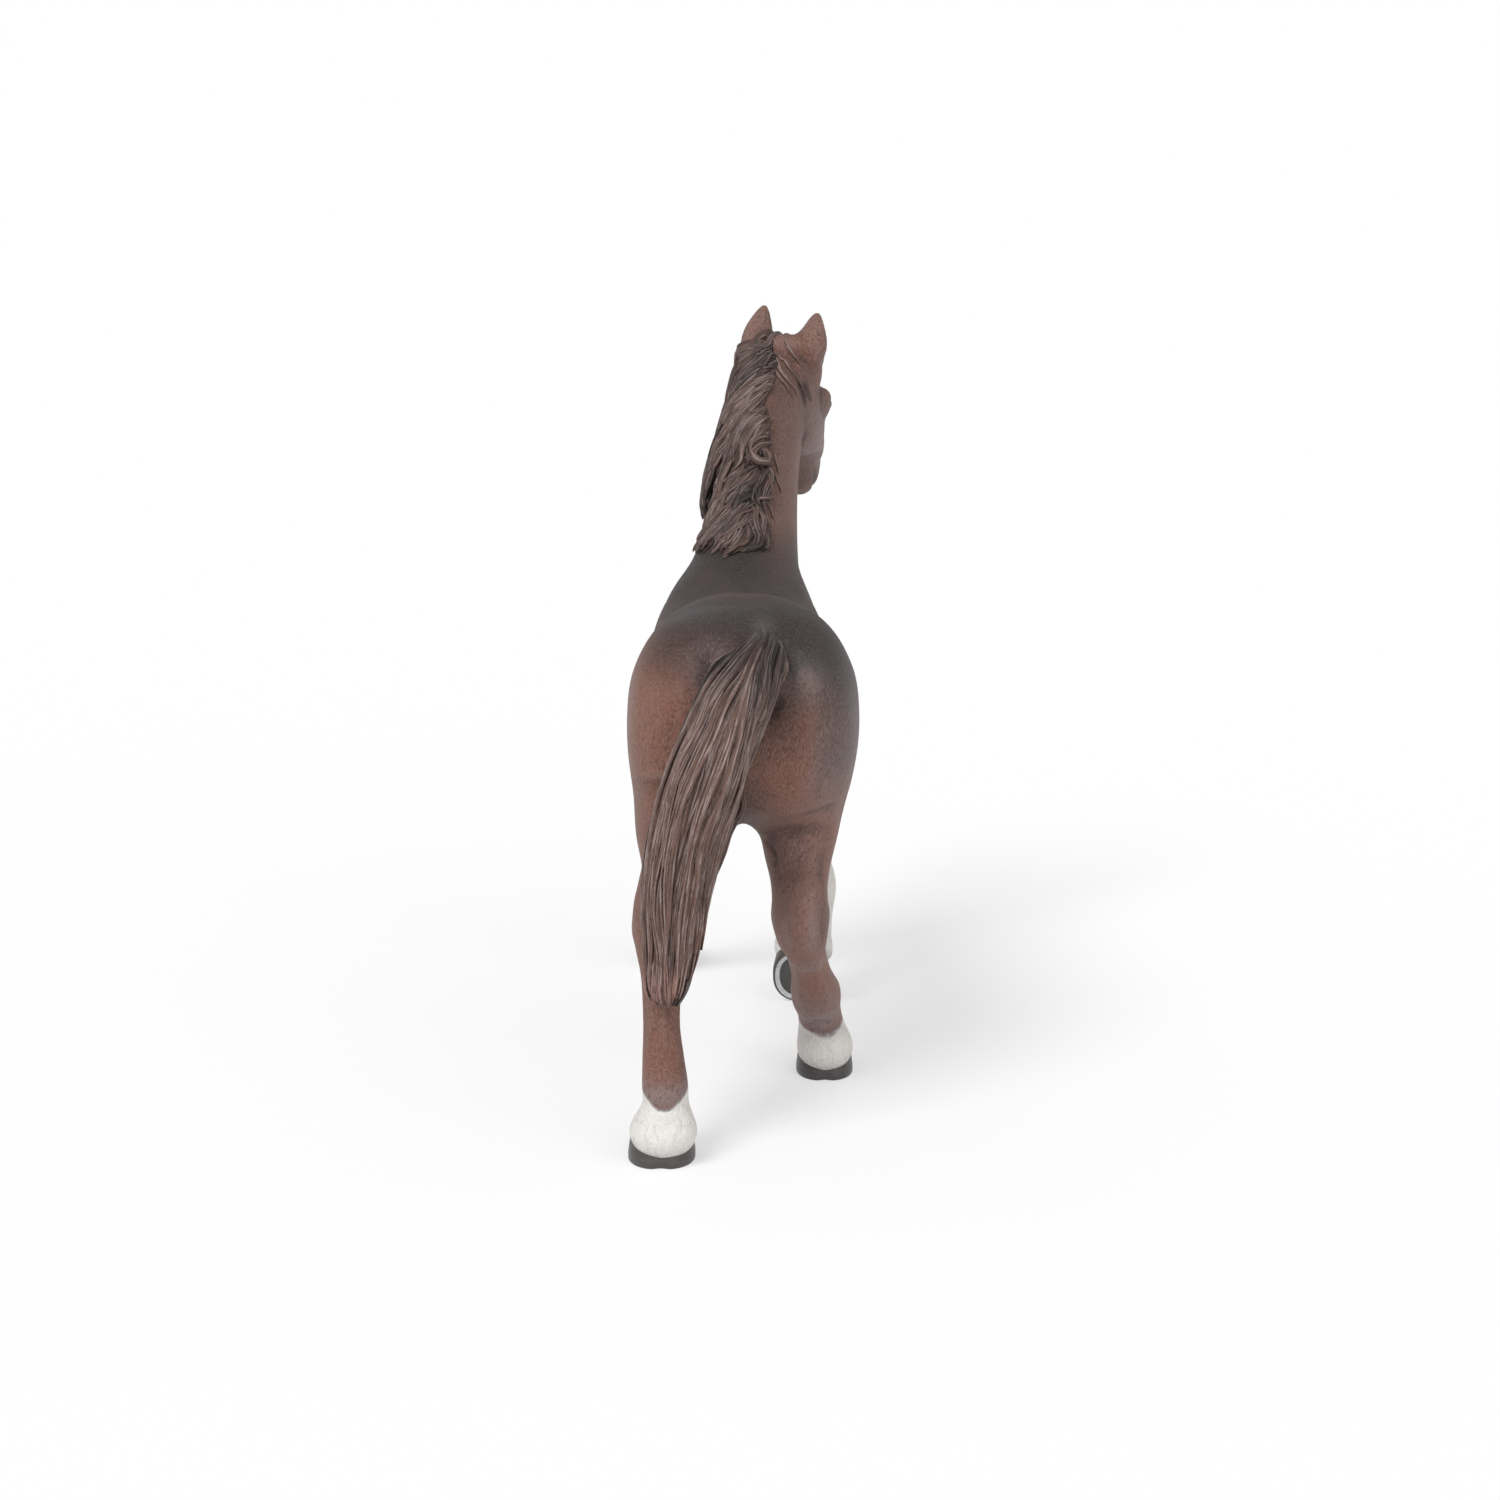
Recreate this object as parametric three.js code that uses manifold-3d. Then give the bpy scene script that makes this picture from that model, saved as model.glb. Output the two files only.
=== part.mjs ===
// A walking horse of solid moulded vinyl, made as nine mouldings that plug together.
// Millimetres. The horse faces +Y, its own right side is +X, and it stands on z = 0.
import * as THREE from "three";
import { mergeVertices } from "three/addons/utils/BufferGeometryUtils.js";
import Module from "manifold-3d";

const wasm = await Module();
wasm.setup();

// Driving dimensions of the body
const withersHeight = 82.5;
const bodyLength = 90;
const bodyWidth = 36;
const cannonWidth = 5.5;

// Neck and head
const neckLength = 50;
const neckDepth = 31;
const neckWidth = 20;
const headLength = 34.5;
const headDepth = 15;
const headWidth = 12;
const earLength = 8.6;
const earWidth = 5.8;
const earHollow = 1.1;
const eyeWidth = 2.5;
const nostrilWidth = 1.5;
const nostrilHeight = 2.1;
const headNod = THREE.MathUtils.degToRad(38);
const headTurn = THREE.MathUtils.degToRad(-18);
const headTilt = THREE.MathUtils.degToRad(7);

// Hoofs, with the shoe standing proud of the sole
const hoofWidth = 10.2;
const hoofLength = 12.6;
const hoofHeight = 6.4;
const shoeWidth = 1.7;
const shoeDepth = 0.5;
const heelWidth = 10;
const heelDepth = 9;
const heelHeight = 8.5;

// Mane and tail
const tailLength = 56;
const tailWidth = 10.6;
const maneThickness = 1.9;
const maneEdge = 0.7;
const strandDepth = 0.45;

// The plugs that carry the mouldings, and the gap at every seat
const clearance = 0.3;
const seamDrop = 1.2;
const pegRoot = 1.5;
const pegFlat = THREE.MathUtils.degToRad(45);
const legPegWidth = 4.4;
const legPegLength = 6;
const neckPegWidth = 8;
const neckPegLength = 8;
const headPegWidth = 5;
const headPegLength = 6;
const tailPegWidth = 2.6;
const tailPegLength = 4.5;
const manePinWidth = 1.6;
const manePinLength = 2;

// How finely the forms are drawn
const ringPoints = 20;
const headRingPoints = 16;
const legRingPoints = 14;
const hoofRingPoints = 18;
const arcPoints = 8;
const eggRings = 6;
const rowSteps = 2;
const tailSteps = 3;
const maneStrands = 13;
const tailStrands = 11;
const roundSection = 2;
const legSquareness = 2.2;
const hoofSquareness = 2.3;

const up = new THREE.Vector3(0, 0, 1);
const down = new THREE.Vector3(0, 0, -1);

const vinylCoat = { color: 0x6e4a3e, roughness: 0.5, metalness: 0 };
const vinylHair = { color: 0x4c3832, roughness: 0.55, metalness: 0 };

// Rows from tail to chest: along, aside, widest height, half width, top, underside, squareness.
// They are shares of the body's length, half width, height, half width, height and height.
const trunkShares = [
  [0.004, 0.00, 0.80, 0.20, 0.845, 0.76, 2.00],
  [0.022, 0.00, 0.79, 0.58, 0.905, 0.68, 2.20],
  [0.055, 0.01, 0.782, 0.835, 0.945, 0.62, 2.35],
  [0.10, 0.012, 0.775, 0.93, 0.968, 0.585, 2.45],
  [0.16, 0.012, 0.77, 0.965, 0.978, 0.572, 2.50],
  [0.225, 0.01, 0.765, 0.955, 0.981, 0.572, 2.45],
  [0.31, 0.00, 0.755, 0.91, 0.974, 0.585, 2.30],
  [0.40, 0.00, 0.74, 0.90, 0.958, 0.595, 2.10],
  [0.49, -0.01, 0.73, 0.925, 0.945, 0.58, 2.00],
  [0.58, -0.02, 0.725, 0.935, 0.94, 0.562, 2.00],
  [0.67, -0.045, 0.725, 0.91, 0.958, 0.548, 2.10],
  [0.745, -0.065, 0.73, 0.87, 0.982, 0.543, 2.15],
  [0.82, -0.065, 0.735, 0.80, 0.985, 0.552, 2.20],
  [0.89, -0.04, 0.735, 0.71, 0.935, 0.58, 2.20],
  [0.95, -0.03, 0.735, 0.58, 0.86, 0.62, 2.20],
  [0.99, -0.02, 0.735, 0.38, 0.80, 0.665, 2.10],
  [1.005, -0.02, 0.735, 0.12, 0.758, 0.712, 2.00],
];

// Rows from the shoulder to the poll: side, forward and up from the neck's base
// as shares of its length, then half width, crest and throat as shares of its halves.
const neckBaseShares = { forward: 0.861, up: 0.885 };
const neckShares = [
  [-0.012, -0.15, -0.18, 1.02, 1.05, 1.16],
  [0.002, 0.00, 0.00, 0.95, 0.95, 1.04],
  [0.014, 0.12, 0.18, 0.85, 0.86, 0.84],
  [0.028, 0.235, 0.35, 0.79, 0.79, 0.68],
  [0.055, 0.335, 0.51, 0.73, 0.73, 0.57],
  [0.09, 0.415, 0.65, 0.68, 0.62, 0.52],
  [0.124, 0.46, 0.765, 0.60, 0.45, 0.42],
  [0.148, 0.474, 0.845, 0.40, 0.22, 0.24],
];
const pollShares = { side: 0.164, forward: 0.470, up: 0.880 };
const neckSeamRow = 1.35;
const headSeamShares = { back: 0.42, down: 0.12 };
const headSeamLean = THREE.MathUtils.degToRad(20);

// Rows from poll to muzzle: along, face, jaw, half width, squareness,
// as shares of the head's length, depth and half width.
const headShares = [
  [-0.035, -0.22, -0.42, 0.34, 2.00],
  [0.03, -0.06, -0.62, 0.72, 2.20],
  [0.13, 0.04, -0.84, 0.90, 2.30],
  [0.24, 0.085, -0.95, 0.98, 2.40],
  [0.34, 0.085, -0.98, 0.96, 2.40],
  [0.44, 0.06, -0.92, 0.95, 2.40],
  [0.54, 0.035, -0.76, 0.87, 2.30],
  [0.64, 0.02, -0.64, 0.78, 2.30],
  [0.74, 0.015, -0.575, 0.71, 2.30],
  [0.83, 0.015, -0.555, 0.65, 2.30],
  [0.915, -0.015, -0.545, 0.58, 2.30],
  [0.97, -0.085, -0.505, 0.44, 2.20],
  [1.00, -0.20, -0.41, 0.24, 2.00],
];
const jowlShares = { side: 0.60, back: -0.56, down: 0.37, wide: 0.48, deep: 0.37, tall: 0.20 };
const browShares = { side: 0.91, back: -0.17, down: 0.375, wide: 0.28, deep: 0.16, tall: 0.073 };
const eyeShares = { side: 1.00, back: -0.17, down: 0.405 };
const nostrilShares = { side: 0.56, back: -0.12, down: 0.885 };
const earBases = { right: 0.72, left: 0.94, back: -0.22, down: 0.06 };
const earLean = new THREE.Vector3(0.05, 0.62, 0.77).normalize();
const earOpening = new THREE.Vector3(0.35, 0.80, -0.45);
const earShares = [
  [0.00, 0.80, 0.85],
  [0.25, 1.00, 0.90],
  [0.50, 0.92, 0.76],
  [0.75, 0.62, 0.50],
  [0.93, 0.26, 0.24],
  [1.00, 0.08, 0.08],
];

// Each leg from the top down: side, forward and up as shares of half width, length and
// height, then half width, ahead and behind as shares of the cannon's width.
const leftHindShares = [
  [-0.528, 0.161, 0.824, 1.18, 2.30, 2.45],
  [-0.533, 0.161, 0.727, 1.33, 2.75, 2.70],
  [-0.522, 0.150, 0.630, 1.38, 2.45, 2.45],
  [-0.530, 0.096, 0.552, 1.27, 1.80, 1.85],
  [-0.567, 0.060, 0.497, 1.00, 1.33, 1.25],
  [-0.636, 0.036, 0.461, 0.85, 1.00, 1.05],
  [-0.680, 0.022, 0.432, 0.80, 0.84, 1.16],
  [-0.684, 0.013, 0.400, 0.80, 0.78, 1.10],
  [-0.680, -0.006, 0.361, 0.72, 0.70, 0.82],
  [-0.676, -0.034, 0.315, 0.57, 0.55, 0.64],
  [-0.672, -0.069, 0.242, 0.51, 0.46, 0.55],
  [-0.655, -0.098, 0.188, 0.57, 0.52, 0.62],
  [-0.636, -0.121, 0.143, 0.63, 0.60, 0.80],
  [-0.630, -0.113, 0.099, 0.64, 0.58, 0.70],
  [-0.640, -0.096, 0.048, 0.86, 0.84, 0.86],
];
const rightHindShares = [
  [0.528, 0.172, 0.824, 1.18, 2.30, 2.45],
  [0.533, 0.197, 0.727, 1.33, 2.75, 2.70],
  [0.508, 0.214, 0.630, 1.40, 2.45, 2.45],
  [0.500, 0.200, 0.552, 1.18, 1.80, 1.85],
  [0.492, 0.178, 0.497, 1.00, 1.33, 1.25],
  [0.496, 0.161, 0.455, 0.85, 1.00, 1.05],
  [0.500, 0.150, 0.422, 0.80, 0.84, 1.16],
  [0.506, 0.148, 0.383, 0.81, 0.80, 1.10],
  [0.524, 0.166, 0.339, 0.74, 0.71, 0.84],
  [0.562, 0.198, 0.293, 0.58, 0.56, 0.66],
  [0.608, 0.240, 0.240, 0.58, 0.50, 0.62],
  [0.640, 0.277, 0.201, 0.68, 0.56, 0.74],
  [0.664, 0.314, 0.170, 0.74, 0.64, 0.86],
  [0.700, 0.341, 0.119, 0.70, 0.60, 0.72],
  [0.739, 0.353, 0.048, 0.88, 0.84, 0.86],
];
const leftForeShares = [
  [-0.500, 0.844, 0.800, 0.85, 1.50, 1.45],
  [-0.533, 0.828, 0.691, 1.10, 1.45, 1.50],
  [-0.567, 0.817, 0.606, 1.07, 1.25, 1.40],
  [-0.606, 0.833, 0.533, 0.91, 1.02, 1.08],
  [-0.644, 0.858, 0.467, 0.76, 0.80, 0.84],
  [-0.678, 0.880, 0.410, 0.64, 0.64, 0.66],
  [-0.700, 0.893, 0.376, 0.73, 0.72, 0.68],
  [-0.717, 0.902, 0.343, 0.75, 0.72, 0.72],
  [-0.739, 0.911, 0.303, 0.58, 0.52, 0.62],
  [-0.772, 0.931, 0.236, 0.48, 0.43, 0.53],
  [-0.800, 0.947, 0.182, 0.50, 0.46, 0.57],
  [-0.822, 0.962, 0.138, 0.62, 0.58, 0.76],
  [-0.833, 0.992, 0.097, 0.64, 0.56, 0.66],
  [-0.839, 1.026, 0.048, 0.87, 0.85, 0.85],
];
const rightForeShares = [
  [0.500, 0.844, 0.800, 0.85, 1.50, 1.45],
  [0.544, 0.828, 0.691, 1.10, 1.45, 1.50],
  [0.572, 0.828, 0.606, 1.07, 1.25, 1.40],
  [0.600, 0.867, 0.545, 0.91, 1.02, 1.08],
  [0.622, 0.911, 0.497, 0.76, 0.80, 0.84],
  [0.639, 0.951, 0.456, 0.66, 0.66, 0.68],
  [0.650, 0.973, 0.432, 0.73, 0.74, 0.66],
  [0.661, 0.984, 0.400, 0.75, 0.76, 0.69],
  [0.672, 0.971, 0.364, 0.60, 0.55, 0.62],
  [0.689, 0.940, 0.320, 0.48, 0.43, 0.53],
  [0.711, 0.907, 0.276, 0.50, 0.46, 0.57],
  [0.722, 0.873, 0.233, 0.62, 0.58, 0.76],
  [0.678, 0.840, 0.179, 0.64, 0.56, 0.66],
  [0.590, 0.784, 0.110, 0.87, 0.85, 0.85],
];

// Sole centres, and how far each sole is turned back from flat on the ground.
const soles = {
  left_hindleg: { side: -0.668, forward: -0.112, up: 0, fold: 0 },
  right_hindleg: { side: 0.746, forward: 0.343, up: 0, fold: 0 },
  left_foreleg: { side: -0.844, forward: 1.050, up: 0, fold: 0 },
  right_foreleg: { side: 0.556, forward: 0.739, up: 0.0675, fold: THREE.MathUtils.degToRad(-65) },
};
// Hoof rings from the ground up: height, half width, toe, heel, forward shift, slope in radians.
const hoofShares = [
  [0.00, 1.00, 1.00, 0.94, 0.00, 0.00],
  [0.10, 1.00, 0.99, 0.95, 0.00, 0.03],
  [0.66, 0.92, 0.84, 0.84, -0.04, 0.33],
  [0.86, 0.78, 0.66, 0.70, -0.07, 0.40],
];
// The soft heel over the back of each hoof, from the sole's centre
const heelShares = { back: -0.20, up: 0.78 };

// The tail's path from the dock: side, forward, up as shares of its length, then its halves.
const dockShares = { side: 0.085, forward: 0.024, up: 0.915 };
const tailShares = [
  [0.01, 0.15, -0.01, 0.40, 0.36],
  [0.02, 0.05, 0.004, 0.50, 0.44],
  [0.021, -0.035, -0.005, 0.68, 0.53],
  [-0.015, -0.11, -0.055, 0.92, 0.60],
  [-0.06, -0.163, -0.145, 0.98, 0.66],
  [-0.105, -0.197, -0.245, 0.99, 0.69],
  [-0.146, -0.213, -0.37, 1.03, 0.68],
  [-0.183, -0.218, -0.505, 0.98, 0.65],
  [-0.20, -0.219, -0.64, 0.89, 0.60],
  [-0.207, -0.223, -0.77, 0.78, 0.55],
  [-0.218, -0.228, -0.868, 0.61, 0.42],
  [-0.224, -0.232, -0.925, 0.32, 0.22],
];

// The mane hangs on the left: along the neck from withers to poll, how far it wraps from
// the crest in radians, and how thick it is as a share of its full thickness.
const maneWrap = { overCrest: 0.28, shortest: 1.05, longest: 1.9 };
const maneSpan = { from: 1.3, to: 6.8 };
const maneSwell = { start: 0.12, span: 0.8, power: 0.5 };
const maneLocks = 4.5;
const maneSlant = 3;
const maneSteps = 39;
const maneAcross = 6;
const manePins = [2.6, 5];
const rowStep = 0.1;
const tailTwist = 0.5;
const neckAxisRows = 0.5;
const pegRows = 3;

// Catmull-Rom rows between the rows of a table, so that a few rows give a smooth form.
function between(rows, place) {
  const last = rows.length - 1;
  const i = Math.min(Math.floor(place), last - 1);
  const t = place - i;
  const a = rows[Math.max(i - 1, 0)];
  const b = rows[i];
  const c = rows[i + 1];
  const d = rows[Math.min(i + 2, last)];
  return b.map((value, k) => {
    const bend = 2 * a[k] - 5 * value + 4 * c[k] - d[k];
    const turn = 3 * (value - c[k]) + d[k] - a[k];
    return value + 0.5 * t * (c[k] - a[k] + t * (bend + t * turn));
  });
}

function refine(rows, steps) {
  const count = (rows.length - 1) * steps;
  return Array.from({ length: count + 1 }, (_, i) => between(rows, i / steps));
}

// A station is a place on the axis with its section: half width, the reach on the upper
// or front side, the reach on the other side, and how square the section is.
function station([x, y, z, width, front, rear, square = roundSection]) {
  return { at: new THREE.Vector3(x, y, z), width, front, rear, square };
}

// Each station's own directions: along the axis, across the horse, and to the front side.
function withFrames(stations, across = new THREE.Vector3(1, 0, 0)) {
  const last = stations.length - 1;
  return stations.map((s, i) => {
    const along = new THREE.Vector3()
      .subVectors(stations[Math.min(i + 1, last)].at, stations[Math.max(i - 1, 0)].at)
      .normalize();
    const side = across.clone().addScaledVector(along, -across.dot(along)).normalize();
    const ahead = new THREE.Vector3().crossVectors(side, along);
    return { ...s, along, side, ahead };
  });
}

// A point on a section, at an angle from the side direction towards the front side.
function sectionPoint(s, angle, grow = 0) {
  const c = Math.cos(angle);
  const d = Math.sin(angle);
  const power = 2 / s.square;
  const reach = (d > 0 ? s.front : s.rear) + grow;
  const sideways = Math.sign(c) * Math.abs(c) ** power * (s.width + grow);
  const forwards = Math.sign(d) * Math.abs(d) ** power * reach;
  return s.at.clone().addScaledVector(s.side, sideways).addScaledVector(s.ahead, forwards);
}

// A closed body from rings of points, all of one length. Each end is a fan round its
// middle, or the triangles that a cap function picks from the ring's own points.
function closeRings(rings, cap) {
  const count = rings[0].length;
  const points = rings.flat();
  const faces = [];
  for (let i = 0; i + 1 < rings.length; i++) {
    for (let k = 0; k < count; k++) {
      const next = (k + 1) % count;
      const a = i * count + k;
      const b = i * count + next;
      faces.push(a, a + count, b, b, a + count, b + count);
    }
  }
  for (const first of [0, points.length - count]) {
    const ring = Array.from({ length: count }, (_, k) => first + k);
    const triangles = cap ? cap(ring) : fan(ring, points);
    triangles.forEach((triangle) => faces.push(...(first === 0 ? triangle : triangle.toReversed())));
  }
  const geometry = new THREE.BufferGeometry().setFromPoints(points);
  geometry.setIndex(faces);
  return geometry;
}

function fan(ring, points) {
  const middle = new THREE.Vector3();
  ring.forEach((index) => middle.add(points[index]));
  const centre = points.push(middle.divideScalar(ring.length)) - 1;
  return ring.map((index, k) => [centre, index, ring[(k + 1) % ring.length]]);
}

function loft(stations, count, grow = 0) {
  const rings = stations.map((s) =>
    Array.from({ length: count }, (_, k) => sectionPoint(s, (k / count) * 2 * Math.PI, grow)));
  return closeRings(rings);
}

function solid(geometry) {
  const bare = geometry.clone();
  bare.deleteAttribute("normal");
  bare.deleteAttribute("uv");
  const merged = mergeVertices(bare);
  return new wasm.Manifold(new wasm.Mesh({
    numProp: 3,
    vertProperties: new Float32Array(merged.attributes.position.array),
    triVerts: new Uint32Array(merged.index.array),
  }));
}

function join(solids) {
  return solids.reduce((sum, next) => sum.add(next));
}

// Everything on one side of a plane: a block whose face passes through a point.
const blockSize = 2 * (bodyLength + withersHeight + neckLength + tailLength);
function beyond(point, direction) {
  const block = new THREE.BoxGeometry(blockSize, blockSize, blockSize).translate(0, 0, blockSize / 2);
  const turn = new THREE.Quaternion().setFromUnitVectors(up, direction);
  return solid(block.applyQuaternion(turn).translate(point.x, point.y, point.z));
}

// A plug with one flat side, so that a piece goes in only one way round. It stands on the
// seam, rooted a little way inside the piece that carries it.
function peg(point, direction, width, length, grow = 0) {
  const radius = width / 2 + grow;
  const outline = new THREE.Shape();
  outline.absarc(0, 0, radius, pegFlat, 2 * Math.PI - pegFlat, false);
  const depth = pegRoot + length + grow;
  const plug = new THREE.ExtrudeGeometry(outline, { depth, bevelEnabled: false, curveSegments: arcPoints });
  const turn = new THREE.Quaternion().setFromUnitVectors(up, direction);
  plug.translate(0, 0, -pegRoot).applyQuaternion(turn).translate(point.x, point.y, point.z);
  return solid(plug);
}

// Places on the body
function onBody({ side, forward, up }) {
  return new THREE.Vector3(side * bodyWidth / 2, forward * bodyLength, up * withersHeight);
}

function trunkStations() {
  const rows = refine(trunkShares, rowSteps).map(([along, aside, middle, width, top, under, square]) => [
    aside * bodyWidth / 2, along * bodyLength, middle * withersHeight, width * bodyWidth / 2,
    (top - middle) * withersHeight, (middle - under) * withersHeight, square,
  ]);
  return withFrames(rows.map(station));
}

function legStations(table) {
  const rows = table.map(([side, forward, up, ...section]) => {
    const at = onBody({ side, forward, up });
    const halves = section.map((share) => share * cannonWidth);
    return [at.x, at.y, at.z, ...halves, legSquareness];
  });
  return withFrames(refine(rows, rowSteps).map(station));
}

const neckBase = onBody({ side: 0, ...neckBaseShares });
function neckRows() {
  return neckShares.map(([side, forward, up, width, crest, throat]) => [
    neckBase.x + side * neckLength, neckBase.y + forward * neckLength, neckBase.z + up * neckLength,
    width * neckWidth / 2, crest * neckDepth / 2, throat * neckDepth / 2,
  ]);
}

// The head is drawn upright with its poll at the origin and its face forward, then placed.
const poll = neckBase.clone().add(new THREE.Vector3(
  pollShares.side * neckLength, pollShares.forward * neckLength, pollShares.up * neckLength));
const headPlace = new THREE.Matrix4()
  .makeRotationZ(headTurn)
  .multiply(new THREE.Matrix4().makeRotationY(headTilt))
  .multiply(new THREE.Matrix4().makeRotationX(headNod))
  .setPosition(poll);

function onHead({ side, back, down }) {
  return new THREE.Vector3(side * headWidth / 2, back * headDepth, -down * headLength);
}

function egg(centre, wide, deep, tall) {
  const ball = new THREE.SphereGeometry(1, arcPoints, eggRings).scale(wide, deep, tall);
  return solid(ball.translate(centre.x, centre.y, centre.z));
}

function ear(hand, hollow = 0) {
  const out = hand > 0 ? earBases.right : earBases.left;
  const base = onHead({ ...earBases, side: hand * out });
  const opening = new THREE.Vector3(hand * earOpening.x, earOpening.y, earOpening.z)
    .multiplyScalar(hollow);
  const rows = earShares.map(([along, width, thick]) => {
    const at = base.clone().addScaledVector(earLean, along * earLength).add(opening);
    const half = earWidth / 2;
    const rim = hollow > 0 ? 1 - earHollow / earWidth : 1;
    return [at.x, at.y, at.z, width * half * rim, thick * half * rim, thick * half * rim];
  });
  return solid(loft(withFrames(refine(rows, rowSteps).map(station)), arcPoints));
}

function headSolid() {
  const rows = refine(headShares, rowSteps).map(([along, face, jaw, width, square]) => {
    const middle = (face + jaw) / 2;
    const half = (face - jaw) / 2;
    const at = onHead({ side: 0, back: middle, down: along });
    return [at.x, at.y, at.z, width * headWidth / 2, half * headDepth, half * headDepth, square];
  });
  const skull = withFrames(rows.map(station)).map((s) => ({
    ...s, side: new THREE.Vector3(1, 0, 0), ahead: new THREE.Vector3(0, 1, 0),
  }));
  const parts = [solid(loft(skull, headRingPoints))];
  const dimples = [];
  for (const hand of [-1, 1]) {
    for (const shares of [jowlShares, browShares]) {
      const centre = onHead({ ...shares, side: hand * shares.side });
      const { wide, deep, tall } = shares;
      parts.push(egg(centre, wide * headWidth / 2, deep * headDepth, tall * headLength));
    }
    const eye = onHead({ ...eyeShares, side: hand * eyeShares.side });
    parts.push(egg(eye, eyeWidth / 2, eyeWidth / 2, eyeWidth / 2));
    parts.push(ear(hand).subtract(ear(hand, earHollow)));
    const nostril = onHead({ ...nostrilShares, side: hand * nostrilShares.side });
    dimples.push(egg(nostril, nostrilWidth / 2, nostrilWidth / 2, nostrilHeight / 2));
  }
  return join(parts).subtract(join(dimples)).transform(headPlace.elements);
}

// A hoof from its sole up, with a shoe round its edge, the sole sunk inside the shoe and
// the soft heel over its back.
function hoof({ side, forward, up, fold }) {
  const place = new THREE.Matrix4().makeRotationX(fold).setPosition(onBody({ side, forward, up }));
  const rings = hoofShares.map(([height, width, toe, heel, shift, slope]) => ({
    at: new THREE.Vector3(0, shift * hoofLength, height * hoofHeight),
    side: new THREE.Vector3(1, 0, 0),
    ahead: new THREE.Vector3(0, Math.cos(slope), Math.sin(slope)),
    width: width * hoofWidth / 2,
    front: toe * hoofLength / 2,
    rear: heel * hoofLength / 2,
    square: hoofSquareness,
  }));
  const sole = [-1, 1].map((end) => ({
    ...rings[0], at: new THREE.Vector3(0, 0, end * shoeDepth),
  }));
  const wall = solid(loft(rings.map(upwards), hoofRingPoints));
  const recess = solid(loft(sole.map(upwards), hoofRingPoints, -shoeWidth));
  const heelPlace = new THREE.Vector3(0, heelShares.back * hoofLength, heelShares.up * hoofHeight);
  const heel = egg(heelPlace, heelWidth / 2, heelDepth / 2, heelHeight / 2);
  return wall.add(heel).subtract(recess).transform(place.elements);
}

// A ring drawn for an axis that runs upwards goes round the other way.
function upwards(ring) {
  return { ...ring, side: ring.side.clone().negate() };
}

// Where a leg's axis passes a height, and which way it rises from there, for its peg.
function axisAtHeight(stations, height) {
  const i = stations.findIndex((s) => s.at.z < height);
  const above = stations[i - 1].at;
  const below = stations[i].at;
  const seat = above.clone().lerp(below, (above.z - height) / (above.z - below.z));
  return { seat, direction: stations[i - pegRows].at.clone().sub(seat).normalize() };
}

function shapeOf(manifold) {
  const mesh = manifold.getMesh();
  const geometry = new THREE.BufferGeometry();
  geometry.setAttribute("position", new THREE.BufferAttribute(mesh.vertProperties, 3));
  geometry.setIndex(new THREE.BufferAttribute(mesh.triVerts, 1));
  geometry.computeVertexNormals();
  return geometry;
}

// Legs as drawn, before they are cut at the seams
const legs = {
  left_hindleg: { table: leftHindShares, right: false, fore: false },
  right_hindleg: { table: rightHindShares, right: true, fore: false },
  left_foreleg: { table: leftForeShares, right: false, fore: true },
  right_foreleg: { table: rightForeShares, right: true, fore: true },
};
for (const [name, leg] of Object.entries(legs)) {
  leg.stations = legStations(leg.table);
  leg.solid = solid(loft(leg.stations, legRingPoints)).add(hoof(soles[name]));
}

const barrel = solid(loft(trunkStations(), ringPoints));
const neckStations = withFrames(refine(neckRows(), rowSteps).map(station));
const wholeNeck = solid(loft(neckStations, ringPoints));
const wholeHead = headSolid();
const ground = beyond(new THREE.Vector3(0, 0, 0), down);

// The seam under the body lies just below the lowest point of the trunk.
const underside = Math.min(...trunkStations().map((s) => s.at.z - s.rear));
const legSeam = underside - seamDrop;
const middle = bodyLength / 2;

// One leg's share of the space under the seam
function legSpace(leg, grow = 0) {
  const sideways = new THREE.Vector3(leg.right ? 1 : -1, 0, 0);
  const lengthways = new THREE.Vector3(0, leg.fore ? 1 : -1, 0);
  return beyond(new THREE.Vector3(0, 0, legSeam + grow), down)
    .intersect(beyond(new THREE.Vector3(0, 0, 0), sideways))
    .intersect(beyond(new THREE.Vector3(0, middle, 0), lengthways));
}

// The neck and head seams stand square to the axes that they cross.
const [seamX, seamY, seamZ] = between(neckRows(), neckSeamRow);
const neckSeam = new THREE.Vector3(seamX, seamY, seamZ);
const neckAxis = new THREE.Vector3(...between(neckRows(), neckSeamRow + neckAxisRows).slice(0, 3))
  .sub(neckSeam)
  .normalize();
const headSeam = new THREE.Vector3(0, -headSeamShares.back * headDepth, -headSeamShares.down * headLength)
  .applyMatrix4(headPlace);
const headAxis = new THREE.Vector3(0, Math.cos(headSeamLean), Math.sin(headSeamLean))
  .applyAxisAngle(up, headTurn);

const skin = join([barrel, wholeNeck, wholeHead, ...Object.values(legs).map((leg) => leg.solid)])
  .subtract(ground);
const neckSpace = beyond(neckSeam, neckAxis);
const headSpace = beyond(headSeam, headAxis);
const gapBehind = (point, axis) => beyond(point.clone().addScaledVector(axis, -clearance), axis);
const backwards = (axis) => axis.clone().negate();

let trunk = skin.subtract(gapBehind(neckSeam, neckAxis));
let neck = skin.intersect(neckSpace).subtract(gapBehind(headSeam, headAxis));
const headPeg = [headSeam, backwards(headAxis), headPegWidth, headPegLength];
const neckPeg = [neckSeam, backwards(neckAxis), neckPegWidth, neckPegLength];
const head = skin.intersect(neckSpace).intersect(headSpace).add(peg(...headPeg));
neck = neck.subtract(peg(...headPeg, clearance)).add(peg(...neckPeg));
trunk = trunk.subtract(peg(...neckPeg, clearance));

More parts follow.
